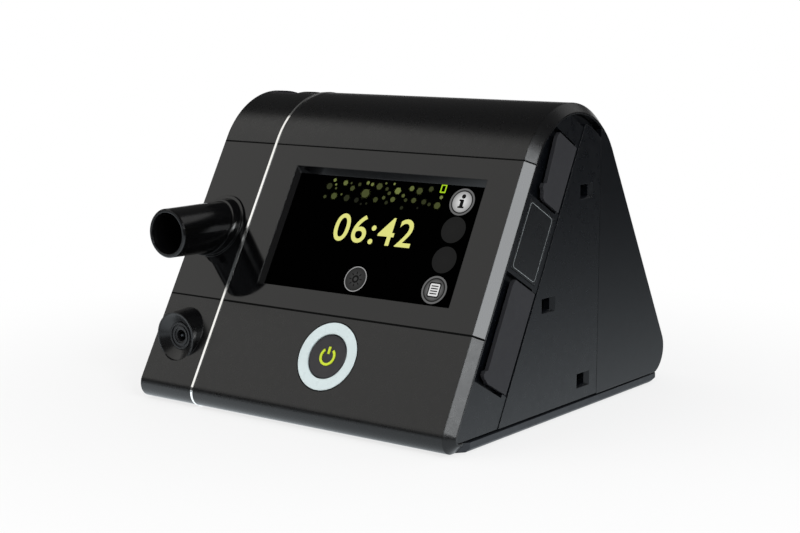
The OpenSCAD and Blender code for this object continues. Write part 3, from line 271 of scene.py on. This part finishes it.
print("floor:", FLOOR_SIZE, "m wide")

# %% [markdown]
# ## The lamps
# Three soft lamps light the machine. A large one at the upper left puts an even sheen on the
# sloping front, a small one at the right lights the narrow chamfers, and a weak one behind draws
# the back. The camera doesn't see the lamps, but glossy parts mirror them.

# %% Lamps
def softbox(name, towards, away, wide, tall, watts, colour):
    """A rectangular lamp that looks at the machine from the direction towards."""
    lamp = bpy.data.lights.new(name, "AREA")
    lamp.shape = "RECTANGLE"
    lamp.size, lamp.size_y = wide, tall
    lamp.energy = watts
    lamp.color = colour
    holder = bpy.data.objects.new(name, lamp)
    scene.collection.objects.link(holder)
    aim = Vector(towards).normalized()
    holder.location = MIDDLE + aim * away
    holder.rotation_euler = aim.to_track_quat("Z", "Y").to_euler()
    holder.visible_camera = False
    print(name, "gives", watts, "W")


softbox("lamp_left", (-0.565, -0.565, 0.6), away=1.7, wide=2.0, tall=1.36, watts=7.7,
        colour=(1.0, 0.99, 0.96))
softbox("lamp_right", (0.76, -0.42, 0.5), away=1.2, wide=0.4, tall=0.58, watts=5.6,
        colour=(0.95, 0.98, 1.0))
softbox("lamp_back", (0.36, 0.75, 0.55), away=1.6, wide=1.3, tall=0.9, watts=2.0,
        colour=(1.0, 1.0, 1.0))

# %% [markdown]
# ## Moulded plastic
# Nearly all of the machine is injection moulded plastic. A picture of plastic could be wrapped
# round it, but a pattern made by the shader has no seams and needs no file. Four things make it
# look real: faint clouds in its colour, a fine grain, which the mould leaves in the surface, a
# sheen that isn't quite even, and edges that are a little round. The coordinates are those of the
# object, so the grain stays on the part when it moves.

# %% Plastic
CLOUDS_A_METRE, PATCHES_A_METRE = 38.0, 300.0
DARKER, LIGHTER = 0.86, 1.14
# What most plastics have: the size of the grain, the spread of the roughness, the soft edge.
GRAIN, SPREAD, EDGE = 0.0003, 0.05, 0.0002


def new_material(name):
    """A material, its boxes, its main shader, and the place on the object as a socket."""
    material = bpy.data.materials.new(name)
    material.use_nodes = True
    tree = material.node_tree
    place = add(tree, "ShaderNodeTexCoord").outputs["Object"]
    return material, tree, tree.nodes["Principled BSDF"], place


def clouded(tree, place, colour):
    """The colour with faint clouds that are a little darker and lighter."""
    clouds = add(tree, "ShaderNodeTexNoise", Vector=place, Scale=CLOUDS_A_METRE, Detail=4.0)
    dark, light = scaled(colour, DARKER), scaled(colour, LIGHTER)
    return mixed(tree, clouds.outputs["Fac"], dark, light, "RGBA")


def uneven(tree, place, rough, spread):
    """A roughness that strays by up to the spread, in patches of a few millimetres."""
    patches = add(tree, "ShaderNodeTexNoise", Vector=place, Scale=PATCHES_A_METRE, Detail=5.0)
    return ramp(tree, patches.outputs["Fac"], 0.3, 0.7, rough - spread, rough + spread)


def soft_edges(tree, radius):
    """The direction of the surface, as if its edges were rounded by this radius."""
    box = add(tree, "ShaderNodeBevel", Radius=radius)
    box.samples = 4
    return box.outputs[0]


def moulded(name, colour, rough, grain=GRAIN, depth=0.00002, spread=SPREAD, sheen=0.5, edge=EDGE):
    """Plastic with a grain of this size and depth, and edges of this radius, in metres."""
    material, tree, skin, place = new_material(name)
    pores = add(tree, "ShaderNodeTexNoise", Vector=place, Scale=1.0 / grain, Detail=2.0)
    relief = add(tree, "ShaderNodeBump", Height=pores.outputs["Fac"], Strength=0.6,
                 Distance=depth, Normal=soft_edges(tree, edge))
    fill(tree, skin, Base_Color=clouded(tree, place, colour), Normal=relief.outputs[0],
         Roughness=uneven(tree, place, rough, spread), Specular_IOR_Level=sheen)
    return material


print("plastic: a grain of", round(GRAIN / MM, 1), "mm, unless a finish has its own")

# %% [markdown]
# ## Metal, rubber, foam and boards
# The parts inside are seldom seen, but they show when a door or the hose module is open. Rubber
# is made by the plastic helper, with a rougher skin. Metal gets a brushed scratch pattern,
# stretched along one axis. Foam is a mass of small cells, and a circuit board has copper tracks
# under its green lacquer, for which a brick pattern is close enough.

# %% Metal, foam and boards
def metal(name, colour, rough, stretch=(40.0, 2400.0, 2400.0)):
    """Brushed or rolled metal with fine lines along one axis."""
    material, tree, skin, place = new_material(name)
    along = add(tree, "ShaderNodeMapping", Vector=place, Scale=stretch)
    lines = add(tree, "ShaderNodeTexNoise", Vector=along.outputs[0], Scale=1.0, Detail=3.0)
    relief = add(tree, "ShaderNodeBump", Height=lines.outputs["Fac"], Strength=0.25,
                 Distance=0.00002)
    fill(tree, skin, Base_Color=clouded(tree, place, colour), Normal=relief.outputs[0],
         Roughness=uneven(tree, place, rough, SPREAD), Metallic=1.0)
    return material


def cellular(name, dark, pale, size):
    """Open foam: cells of this size in metres, dark inside and pale on their walls."""
    material, tree, skin, place = new_material(name)
    cells = add(tree, "ShaderNodeTexVoronoi", Vector=place, Scale=1.0 / size)
    cells.feature = "SMOOTH_F1"
    away = cells.outputs["Distance"]
    relief = add(tree, "ShaderNodeBump", Height=away, Strength=0.8, Distance=size * 0.3)
    fill(tree, skin, Base_Color=mixed(tree, away, dark, pale, "RGBA"),
         Normal=relief.outputs[0], Roughness=0.95)
    return material


def lacquered_board(name, rough=0.32):
    """Green circuit board with lighter tracks."""
    material, tree, skin, place = new_material(name)
    tracks = add(tree, "ShaderNodeTexBrick", Vector=place, Scale=260.0, Mortar_Size=0.06,
                 Color1=tone(22, 74, 46), Color2=tone(26, 84, 52), Mortar=tone(58, 122, 72))
    fill(tree, skin, Base_Color=tracks.outputs["Color"], Normal=soft_edges(tree, EDGE),
         Roughness=uneven(tree, place, rough, SPREAD))
    return material


print("helpers for metal, foam and boards are ready")

# %% [markdown]
# ## A finish for every part
# Each CAD part names a finish, such as satin_black or foot_rubber, and every part with that name
# gets the same material. Four parts look different from the rest of their finish, so they get
# one of their own: the rear shell, the outlet with its collar, and the pin of the heater socket.
# The panels beside the outlet are glossy and mirror it; the covers around them are satin.

# %% Finishes
finish = {}


def new_finish(name, helper, *looks, **more):
    """Makes a finish by one of the helpers, and keeps it under its name."""
    finish[name] = helper(name, *looks, **more)


new_finish("satin_black", moulded, tone(10, 10, 11), 0.28, grain=0.0004, depth=0.000012,
           spread=0.02, edge=0.0006)
new_finish("gloss_black", moulded, tone(5, 5, 6), 0.06, grain=0.004, depth=0.000004,
           spread=0.02, edge=0.0004)
new_finish("side_grey", moulded, tone(11, 13, 17), 0.3, depth=0.00001)
new_finish("base_grey", moulded, tone(38, 41, 46), 0.42)
new_finish("flap_grey", moulded, tone(49, 49, 52), 0.6, grain=0.0005, depth=0.00003, sheen=0.3)
new_finish("label_film", moulded, tone(20, 21, 23), 0.3, grain=0.0002, depth=0.000004)
new_finish("trim_bright", metal, tone(254, 254, 252), 0.14)
new_finish("cover_glass", moulded, tone(1, 1, 1), 0.08, grain=0.002, depth=0.000001,
           spread=0.02, sheen=0.0)
new_finish("key_white", moulded, tone(216, 229, 230), 0.3, depth=0.000008)
new_finish("key_cap", moulded, tone(38, 36, 41), 0.42)
new_finish("symbol_green", moulded, tone(206, 224, 26), 0.3, grain=0.0002, depth=0.000004)
new_finish("board_green", lacquered_board)
new_finish("chip_black", moulded, tone(26, 26, 28), 0.4, grain=0.0002, depth=0.00001)
new_finish("sheet_metal", metal, tone(176, 178, 180), 0.3)
new_finish("card_blue", moulded, tone(38, 74, 132), 0.4)
new_finish("inner_grey", moulded, tone(88, 92, 96), 0.5)
new_finish("foam", cellular, tone(34, 35, 38), tone(96, 98, 102), 0.0012)
new_finish("silicone", moulded, tone(150, 152, 156), 0.55, grain=0.0008, depth=0.00001)
new_finish("blower_grey", moulded, tone(176, 178, 180), 0.4, grain=0.0005, depth=0.00001)
new_finish("motor_metal", metal, tone(150, 152, 156), 0.34, stretch=(2400.0, 2400.0, 40.0))
new_finish("winding", metal, tone(184, 104, 52), 0.36, stretch=(2400.0, 2400.0, 300.0))
new_finish("foot_rubber", moulded, tone(28, 28, 30), 0.8, depth=0.00004)
new_finish("door_black", moulded, tone(30, 31, 34), 0.48, grain=0.0004, depth=0.00003)
new_finish("pin_steel", metal, tone(84, 86, 90), 0.5)
new_finish("shell_black", moulded, tone(9, 11, 15), 0.3, grain=0.0004, depth=0.000012,
           spread=0.02, edge=0.0006)
new_finish("outlet_black", moulded, tone(8, 8, 9), 0.17, grain=0.0004, depth=0.000006,
           spread=0.02, edge=0.0005)

variant_of = {"jack_pin": "pin_steel", "rear_shell": "shell_black",
              "outlet_tube": "outlet_black", "outlet_collar": "outlet_black"}
slot_of = {row["node"]: row["material_slot"] for row in frame["record"]["subparts"]}
for name, part in frame["nodes"].items():
    part.data.materials.clear()
    part.data.materials.append(finish[variant_of.get(name, slot_of[name])])
print("finishes:", len(finish), "parts dressed:", len(frame["nodes"]))

# %% [markdown]
# ## Where things lie
# The sloping front and the right side have frames of their own. A piece is modelled flat on the
# ground plane, then one matrix lays it on the front or on the side. Its place is then applied, so
# that the object itself stays at the origin, as the CAD parts do.

# %% Frames of the front and the side
LEAN = math.radians(28.4489)
FOOT_OF_FRONT = -94.8074
across, slope = Vector((1, 0, 0)), Vector((0, math.sin(LEAN), math.cos(LEAN)))
outward = across.cross(slope)


def on_front(x, s, out):
    """Frame on the front, in mm: x to the right, s up the slope, out in front of it."""
    at = Vector((x, FOOT_OF_FRONT, 0)) + slope * s + outward * out
    return Matrix.Translation(at * MM) @ Matrix((across, slope, outward)).transposed().to_4x4()


def on_side(d, s, x):
    """Frame on the right side, in mm: d behind the front, s up its slope, x to the right."""
    at = Vector((x, FOOT_OF_FRONT, 0)) + slope * s - outward * d
    return Matrix.Translation(at * MM) @ Matrix((-outward, slope, across)).transposed().to_4x4()


def settle(piece, name, place, material, body="main_unit"):
    """Names a piece, lays it in its place, and gives it a material and a body to ride on."""
    piece.name = name
    piece.data.name = name
    piece.matrix_world = place @ piece.matrix_world
    bpy.ops.object.select_all(action="DESELECT")
    piece.select_set(True)
    bpy.context.view_layer.objects.active = piece
    bpy.ops.object.transform_apply(location=True, rotation=True, scale=True)
    piece.data.materials.clear()
    piece.data.materials.append(material)
    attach(piece, body)


print("the front leans back by", round(math.degrees(LEAN), 1), "degrees")

# %% [markdown]
# ## Light from the display
# The display makes its own light, so its picture is made of thin glowing pieces on a black glass.
# Seen close, a display is a grid of small cells, and a checker of that size keeps the colours from
# looking like paint. Round keys on the display are shaded from their middle outwards.

# %% Display materials
CELL, DIMMER_CELL = 0.00022, 0.88


def grey(level):
    """A grey of the screen, 0 to 255."""
    return tone(level, level, level)


def glow(name, inner, outer=None, centre=None, radius=0.0):
    """Display light: one colour, or inner to outer over the radius round a centre on the glass."""
    material, tree, skin, place = new_material(name)
    lay = add(tree, "ShaderNodeMapping", Vector=place, Rotation=(LEAN - math.pi / 2, 0, 0))
    cells = add(tree, "ShaderNodeTexChecker", Vector=lay.outputs[0], Scale=1.0 / CELL,
                Color1=inner, Color2=scaled(inner, DIMMER_CELL))
    lit = cells.outputs["Color"]
    if outer:
        away = ramp(tree, vectors(tree, "DISTANCE", place, centre), 0.0, radius)
        lit = mixed(tree, away, lit, outer, "RGBA")
    fill(tree, skin, Base_Color=(0.002, 0.002, 0.002, 1), Roughness=0.1,
         Specular_IOR_Level=0.06, Emission_Color=lit, Emission_Strength=1.0)
    return material


print("display cells of", CELL / MM, "mm")

# %% [markdown]
# ## Shapes for the picture
# All signs are built from a few flat shapes: a disc, a ring, and a plate with rounded corners or
# its outline. Each starts as a primitive, is shaped in edit mode and is extruded by one layer. The
# layers of the picture are two hundredths of a millimetre apart, so that nothing flickers where
# two lie on each other, and nothing stands out.

# %% Starting and shaping a piece
def flat(kind, **size):
    """Starts a piece with everything else deselected."""
    bpy.ops.object.select_all(action="DESELECT")
    kind(**size)
    return bpy.context.object


def edit(piece, *steps):
    """Runs steps in edit mode with all of the piece selected."""
    bpy.context.view_layer.objects.active = piece
    bpy.ops.object.mode_set(mode="EDIT")
    bpy.ops.mesh.select_all(action="SELECT")
    for step in steps:
        step()
    bpy.ops.object.mode_set(mode="OBJECT")
    return piece


print("helpers to start and shape a piece are ready")

# %% Flat shapes
# The glass lies this far behind the front, and a layer of the picture is this thick, in mm.
GLASS, LAYER = -2.85, 0.02


def thicken():
    """Turns the selected faces into a plate one layer thick."""
    bpy.ops.mesh.extrude_region_move(TRANSFORM_OT_translate={"value": (0, 0, LAYER * MM)})


def hollow(line):
    """Leaves only a line of this width along the edge of the selected face."""
    bpy.ops.mesh.inset(thickness=line * MM)
    bpy.ops.mesh.delete(type="FACE")
    bpy.ops.mesh.select_all(action="SELECT")


def disc(radius, sides):
    """A flat disc of one face."""
    return flat(bpy.ops.mesh.primitive_circle_add, vertices=sides, radius=radius * MM,
                fill_type="NGON")


def round_plate(radius, sides=64):
    """A thin disc."""
    return edit(disc(radius, sides), thicken)


def ring_plate(outer, inner, sides=64):
    """A thin ring."""
    return edit(disc(outer, sides), lambda: hollow(outer - inner), thicken)


def rounded_plate(wide, tall, corner, line=None):
    """A thin plate with rounded corners, or only its outline if a line width is given."""
    plate = flat(bpy.ops.mesh.primitive_plane_add, size=MM)
    plate.scale = (wide, tall, 1)
    bpy.ops.object.transform_apply(location=False, rotation=False, scale=True)

    def corners():
        bpy.ops.mesh.bevel(offset=corner * MM, segments=6, affect="VERTICES")

    def outline():
        bpy.ops.mesh.select_all(action="SELECT")
        hollow(line)

    return edit(plate, corners, *([outline] if line else []), thicken)


def shift(piece, x, y):
    """Moves a piece in its own plane, in mm."""
    piece.location = (x * MM, y * MM, 0)
    return piece


def join(*parts):
    """Makes one object of several: the others become part of the first."""
    bpy.ops.object.select_all(action="DESELECT")
    for part in parts:
        part.select_set(True)
    bpy.context.view_layer.objects.active = parts[0]
    bpy.ops.object.join()
    return parts[0]


print("glass:", -GLASS, "mm behind the front, layers of", LAYER, "mm")

# %% [markdown]
# ## The clock
# The digits are a text that is turned into a mesh. Their width and height are then stretched to
# the place that the clock fills on the display, so the size doesn't depend on the font.

# %% Clock
CLOCK_PLACE = ((-6.5, 35.9), (86.0, 98.9))
clock = flat(bpy.ops.object.text_add)
clock.data.body = "06:42"
clock.data.offset = 0.008
clock.data.space_character = 1.1
clock.data.extrude = 0.0004
bpy.ops.object.convert(target="MESH")
clock = bpy.context.object
stretch, corner = [], []
for axis, (start, end) in enumerate(CLOCK_PLACE):
    reach = [v.co[axis] for v in clock.data.vertices]
    stretch.append((end - start) * MM / (max(reach) - min(reach)))
    corner.append(-min(reach) * stretch[axis])
clock.scale = (*stretch, 0.01)
clock.location = (*corner, 0)
bpy.ops.object.transform_apply(location=True, rotation=False, scale=True)
settle(clock, "display_clock", on_front(CLOCK_PLACE[0][0], CLOCK_PLACE[1][0], GLASS + LAYER / 2),
       glow("display_clock", tone(228, 228, 132)))
print("clock:", [round(end - start, 1) for start, end in CLOCK_PLACE], "mm")

# %% [markdown]
# ## Round keys on the display
# The keys on the display are areas to touch, drawn as round buttons. Three of them have a sign
# and a rim, and two are blank and so dark that they barely show. Each is a disc; a dark groove
# and a lighter rim round it are rings, one outside the other.

# %% Round keys on the display
# Each place is x to the right and s up the slope, in mm.
INFO, LIST, LIGHT = (55.2, 108.8), (54.7, 69.5), (13.5, 69.9)
KEY_RADIUS, GROOVE_RADIUS, RIM_RADIUS = 4.7, 5.3, 6.1
LIGHT_RADIUS, LIGHT_RIM_RADIUS, BLANK_RADIUS = 5.25, 5.7, 5.9


def display_key(name, place, radius, inner, outer):
    """A round key, shaded from its middle outwards."""
    lay = on_front(*place, GLASS)
    face = glow(name + "_face", inner, outer, lay.translation, radius * MM)
    settle(round_plate(radius), name, lay, face)


display_key("display_info", INFO, KEY_RADIUS, grey(236), grey(150))
display_key("display_list", LIST, KEY_RADIUS, grey(150), grey(66))
display_key("display_light", LIGHT, LIGHT_RADIUS, grey(64), grey(36))
for name, s in (("display_blank_upper", 96.2), ("display_blank_lower", 82.8)):
    display_key(name, (55.15, s), BLANK_RADIUS, grey(25), grey(21))

rim_light = glow("display_rim", grey(104))
rim_dark = glow("display_rim_dark", grey(30))
rim_pale = glow("display_rim_pale", grey(158))
for name, place in (("display_info", INFO), ("display_list", LIST)):
    at = on_front(*place, GLASS)
    settle(ring_plate(GROOVE_RADIUS, KEY_RADIUS), name + "_groove", at, rim_dark)
    settle(ring_plate(RIM_RADIUS, GROOVE_RADIUS), name + "_rim", at, rim_light)
settle(ring_plate(LIGHT_RIM_RADIUS, GROOVE_RADIUS), "display_light_rim", on_front(*LIGHT, GLASS),
       rim_pale)
print("keys on the display: 5")

# %% [markdown]
# ## Signs on the keys
# The signs are joined from the flat shapes: a letter i with feet, a page with rows, and a sun.
# A small battery sign stands at the top right. Where signs lie on each other, each lies one layer
# higher than the one below.

# %% Signs on the keys
CHARGE = (44.0, 114.0)
ink = glow("display_ink", grey(6))
page_white = glow("display_page", grey(226))

dot = shift(round_plate(1.0, sides=32), 0.2, 2.5)
stem = shift(rounded_plate(1.7, 3.6, 0.3), 0, -0.8)
foot = shift(rounded_plate(3.1, 0.8, 0.2), 0, -2.4)
cap = shift(rounded_plate(2.0, 0.8, 0.2), -0.5, 0.7)
info = join(dot, stem, foot, cap)
settle(info, "display_info_sign", on_front(*INFO, GLASS + LAYER), ink)

settle(rounded_plate(6.0, 6.6, 1.1), "display_list_edge", on_front(*LIST, GLASS + LAYER), ink)
settle(rounded_plate(4.8, 5.4, 0.6), "display_list_page", on_front(*LIST, GLASS + 2 * LAYER),
       page_white)
rows = [shift(rounded_plate(3.5, 0.5, 0.12), 0, y) for y in (1.65, 0.55, -0.55, -1.65)]
settle(join(*rows), "display_list_rows", on_front(*LIST, GLASS + 3 * LAYER), ink)

RAYS, RAY_MIDDLE = 8, 2.75
rays = []
for i in range(RAYS):
    angle = math.radians(360 / RAYS * i)
    ray = rounded_plate(0.5, 1.2, 0.15)
    ray.rotation_euler = (0, 0, angle)
    rays.append(shift(ray, -RAY_MIDDLE * math.sin(angle), RAY_MIDDLE * math.cos(angle)))
sun = join(ring_plate(1.75, 0.9, sides=40), *rays)
settle(sun, "display_light_sign", on_front(*LIGHT, GLASS + LAYER), ink)

battery = rounded_plate(2.9, 3.9, 0.35, line=0.6)
charge = join(battery, shift(rounded_plate(1.4, 0.5, 0.1), 0, 2.2))
settle(charge, "display_charge", on_front(*CHARGE, GLASS + LAYER),
       glow("display_charge", tone(170, 214, 30)))
print("signs: i, page with", len(rows), "rows, sun with", len(rays), "rays, battery")

# %% [markdown]
# ## The band of cells
# A loose band of rounded hexagons dresses the top edge of the display. A seeded draw strews them,
# large ones first. A cell that would touch another is drawn again, and left out if no place is
# found. They fade downwards, and each has a brighter rim. One number per face says how bright it
# glows, and the material reads that number from the mesh, so the band is one piece with one
# material.

# %% Band of cells
# Heights in the band are measured from this place up the slope, in mm. The first spot is the
# battery sign, which is there already.
BAND_FOOT = 84.0
BAND_LEFT, BAND_RIGHT, BAND_TOP, BAND_DEPTH = -18.0, 46.0, 31.2, 11.5
RADIUS_AND_COUNT = ((3.1, 1), (2.3, 7), (1.8, 9), (1.25, 14), (0.8, 9))
GAP, TRIES, CROWDING = 0.1, 60, 1.6
ROUNDED, RIM_SHARE, RIM_GLOW = 0.3, 0.24, 1.8
LEVELS, TOP_LIGHT, FADE, USUAL_SIZE = (0.06, 0.12, 0.24, 0.42), 1.15, 1.1, 1.4
draw = random.Random(29)
spots = [(CHARGE[0], CHARGE[1] - BAND_FOOT, 2.6)]
cells, brightness = [], []
for size in [radius for radius, count in RADIUS_AND_COUNT for _ in range(count)]:
    for attempt in range(TRIES):
        depth = draw.random() ** CROWDING
        x = draw.uniform(BAND_LEFT, BAND_RIGHT)
        y = BAND_TOP - size - (BAND_DEPTH - size) * depth
        if all(math.hypot(x - p, y - q) > size + r + GAP for p, q, r in spots):
            break
    else:
        continue
    spots.append((x, y, size))
    spot = flat(bpy.ops.mesh.primitive_circle_add, vertices=6, radius=size * MM,
                fill_type="NGON", rotation=(0, 0, math.radians(30)))
    rounding = ROUNDED * size * MM
    edit(spot, lambda: bpy.ops.mesh.bevel(offset=rounding, segments=3, affect="VERTICES"),
         lambda: bpy.ops.mesh.inset(thickness=RIM_SHARE * size * MM), thicken)
    light = draw.choice(LEVELS) * (TOP_LIGHT - FADE * depth) * (USUAL_SIZE / size) ** 0.5
    for face in spot.data.polygons:
        rim = face.center.xy.length > rounding
        brightness.append(light * (RIM_GLOW if rim else 1.0))
    cells.append(shift(spot, x, y))
band = join(*cells)
note = band.data.attributes.new("lit", "FLOAT", "FACE")
note.data.foreach_set("value", brightness)
band_light = glow("display_band", tone(190, 206, 112))
tree = band_light.node_tree
reader = add(tree, "ShaderNodeAttribute")
reader.attribute_name = "lit"
fill(tree, tree.nodes["Principled BSDF"], Emission_Strength=reader.outputs["Fac"])
settle(band, "display_band", on_front(0, BAND_FOOT, GLASS), band_light)
print("cells of the band:", len(cells))

# %% [markdown]
# ## The painted shade of the groove round the key
# The white ring of the power key lies in a shallow groove of the front, and the groove's shade
# shows as a thin dark line round it. A flat dark ring, two hundredths of a millimetre proud,
# paints that shade; it rides on the housing, so it stays when the key is pressed.

# %% Painted shade of the groove round the key
POWER_KEY = (14.1, 34.3)
GROOVE_OUTER, GROOVE_INNER = 15.3, 14.85
# Painted shade: this near-black matt plastic stands for the shade in the grooves, round the key
# and in the seams.
groove = moulded("painted_groove_shade", tone(4, 4, 4), 0.7, depth=0.000004, sheen=0.1)
settle(ring_plate(GROOVE_OUTER, GROOVE_INNER, sides=96), "key_groove",
       on_front(*POWER_KEY, 0.0), groove)
print("groove:", round(GROOVE_OUTER - GROOVE_INNER, 2), "mm wide")

# %% [markdown]
# ## Painted shade in the seams between the covers
# Both edges of a seam between two covers are rounded off, so its shade shows as a dark groove,
# wider than the gap itself. A dark strip as thin as the ring's line paints that shade across the
# front. On the main body it goes on round the bevel at the right, and on the hose module it leaves
# with the module.

# %% Painted shade in the seams between the covers
BEVEL_RUN, CORNER = 5.2, 0.1
MAIN_FRONT, MODULE_FRONT = (-52.1, 81.2), (-84.2, -53.8)
MODULE_WIDE = 0.7
# Each seam: how far up the slope it lies, and how wide its painted shade is on the main body.
SEAMS = {"low": (51.8, 0.85), "high": (128.1, 0.6)}
for level, (s, wide) in SEAMS.items():
    centre = sum(MAIN_FRONT) / 2
    line = rounded_plate(MAIN_FRONT[1] - MAIN_FRONT[0], wide, CORNER)
    fold = rounded_plate(BEVEL_RUN, wide, CORNER)
    fold.rotation_euler = (0, math.radians(45), 0)
    half = BEVEL_RUN / 2 * math.sqrt(0.5)
    fold.location = Vector((MAIN_FRONT[1] - centre + half, 0, -half)) * MM
    # Each strip is painted shade, laid over the seam in the material of the grooves' shade.
    settle(join(line, fold), "seam_" + level, on_front(centre, s, 0.0), groove)
    line = rounded_plate(MODULE_FRONT[1] - MODULE_FRONT[0], MODULE_WIDE, CORNER)
    settle(line, "module_seam_" + level, on_front(sum(MODULE_FRONT) / 2, s, 0.0), groove,
           "hose_module")
print("seams drawn:", 2 * len(SEAMS))

# %% [markdown]
# ## The border of the side plate
# A small dark plate lies between the two side flaps. A thin light frame is printed on it, just
# inside its edge. It is a rounded plate of which only the outline is kept.

# %% Border line of the side plate
BORDER_WIDE, BORDER_TALL, BORDER_CORNER, BORDER_LINE = 18.9, 28.7, 1.6, 0.22
BORDER_PLACE = (17.7, 99.4, 84.8)
pale_print = moulded("pale_print", tone(150, 156, 158), 0.5, grain=0.0002, depth=0.000002)
border = rounded_plate(BORDER_WIDE, BORDER_TALL, BORDER_CORNER, line=BORDER_LINE)
settle(border, "plate_border", on_side(*BORDER_PLACE), pale_print)
print("border:", BORDER_WIDE, "by", BORDER_TALL, "mm")

# %% [markdown]
# ## The spring under the release button
# A coil of steel wire lifts the button again when it is let go. A CAD solid of it can't give way,
# so the coil is modelled anew: a round wire section, turned four times round the axis by a Screw
# modifier and closed at both ends. Its radius and height come from the box of the CAD spring.

# %% Release spring
WIRE, WIRE_SIDES = 0.45, 10
TURNS, STEPS = 4, 32
nook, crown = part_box("button_spring")
middle = Vector(((nook[0] + crown[0]) / 2, (nook[1] + crown[1]) / 2, nook[2]))
height = crown[2] - nook[2]
coil_radius = (crown[0] - nook[0]) / 2 - WIRE * MM
spring = flat(bpy.ops.mesh.primitive_circle_add, vertices=WIRE_SIDES, radius=WIRE * MM,
              fill_type="NOTHING", location=(coil_radius, 0, WIRE * MM),
              rotation=(math.pi / 2, 0, 0))
bpy.ops.object.transform_apply(location=True, rotation=True, scale=True)
screw = spring.modifiers.new("turns", "SCREW")
screw.screw_offset = (height - 2 * WIRE * MM) / TURNS
screw.iterations = TURNS
screw.steps = screw.render_steps = STEPS
bpy.ops.object.modifier_apply(modifier="turns")


def close_ends():
    """Fills the open section at each end of the wire, and turns all faces outwards."""
    bpy.ops.mesh.select_mode(type="EDGE")
    bpy.ops.mesh.select_all(action="DESELECT")
    bpy.ops.mesh.select_non_manifold(extend=False)
    bpy.ops.mesh.fill()
    bpy.ops.mesh.select_mode(type="FACE")
    bpy.ops.mesh.select_all(action="SELECT")
    bpy.ops.mesh.normals_make_consistent(inside=False)


edit(spring, lambda: bpy.ops.mesh.remove_doubles(threshold=1e-6), close_ends)
settle(spring, "release_spring", Matrix.Translation(middle), finish["sheet_metal"], "hose_module")
bpy.ops.object.shade_smooth_by_angle(angle=math.radians(50))
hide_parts("button_spring")
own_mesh(spring)
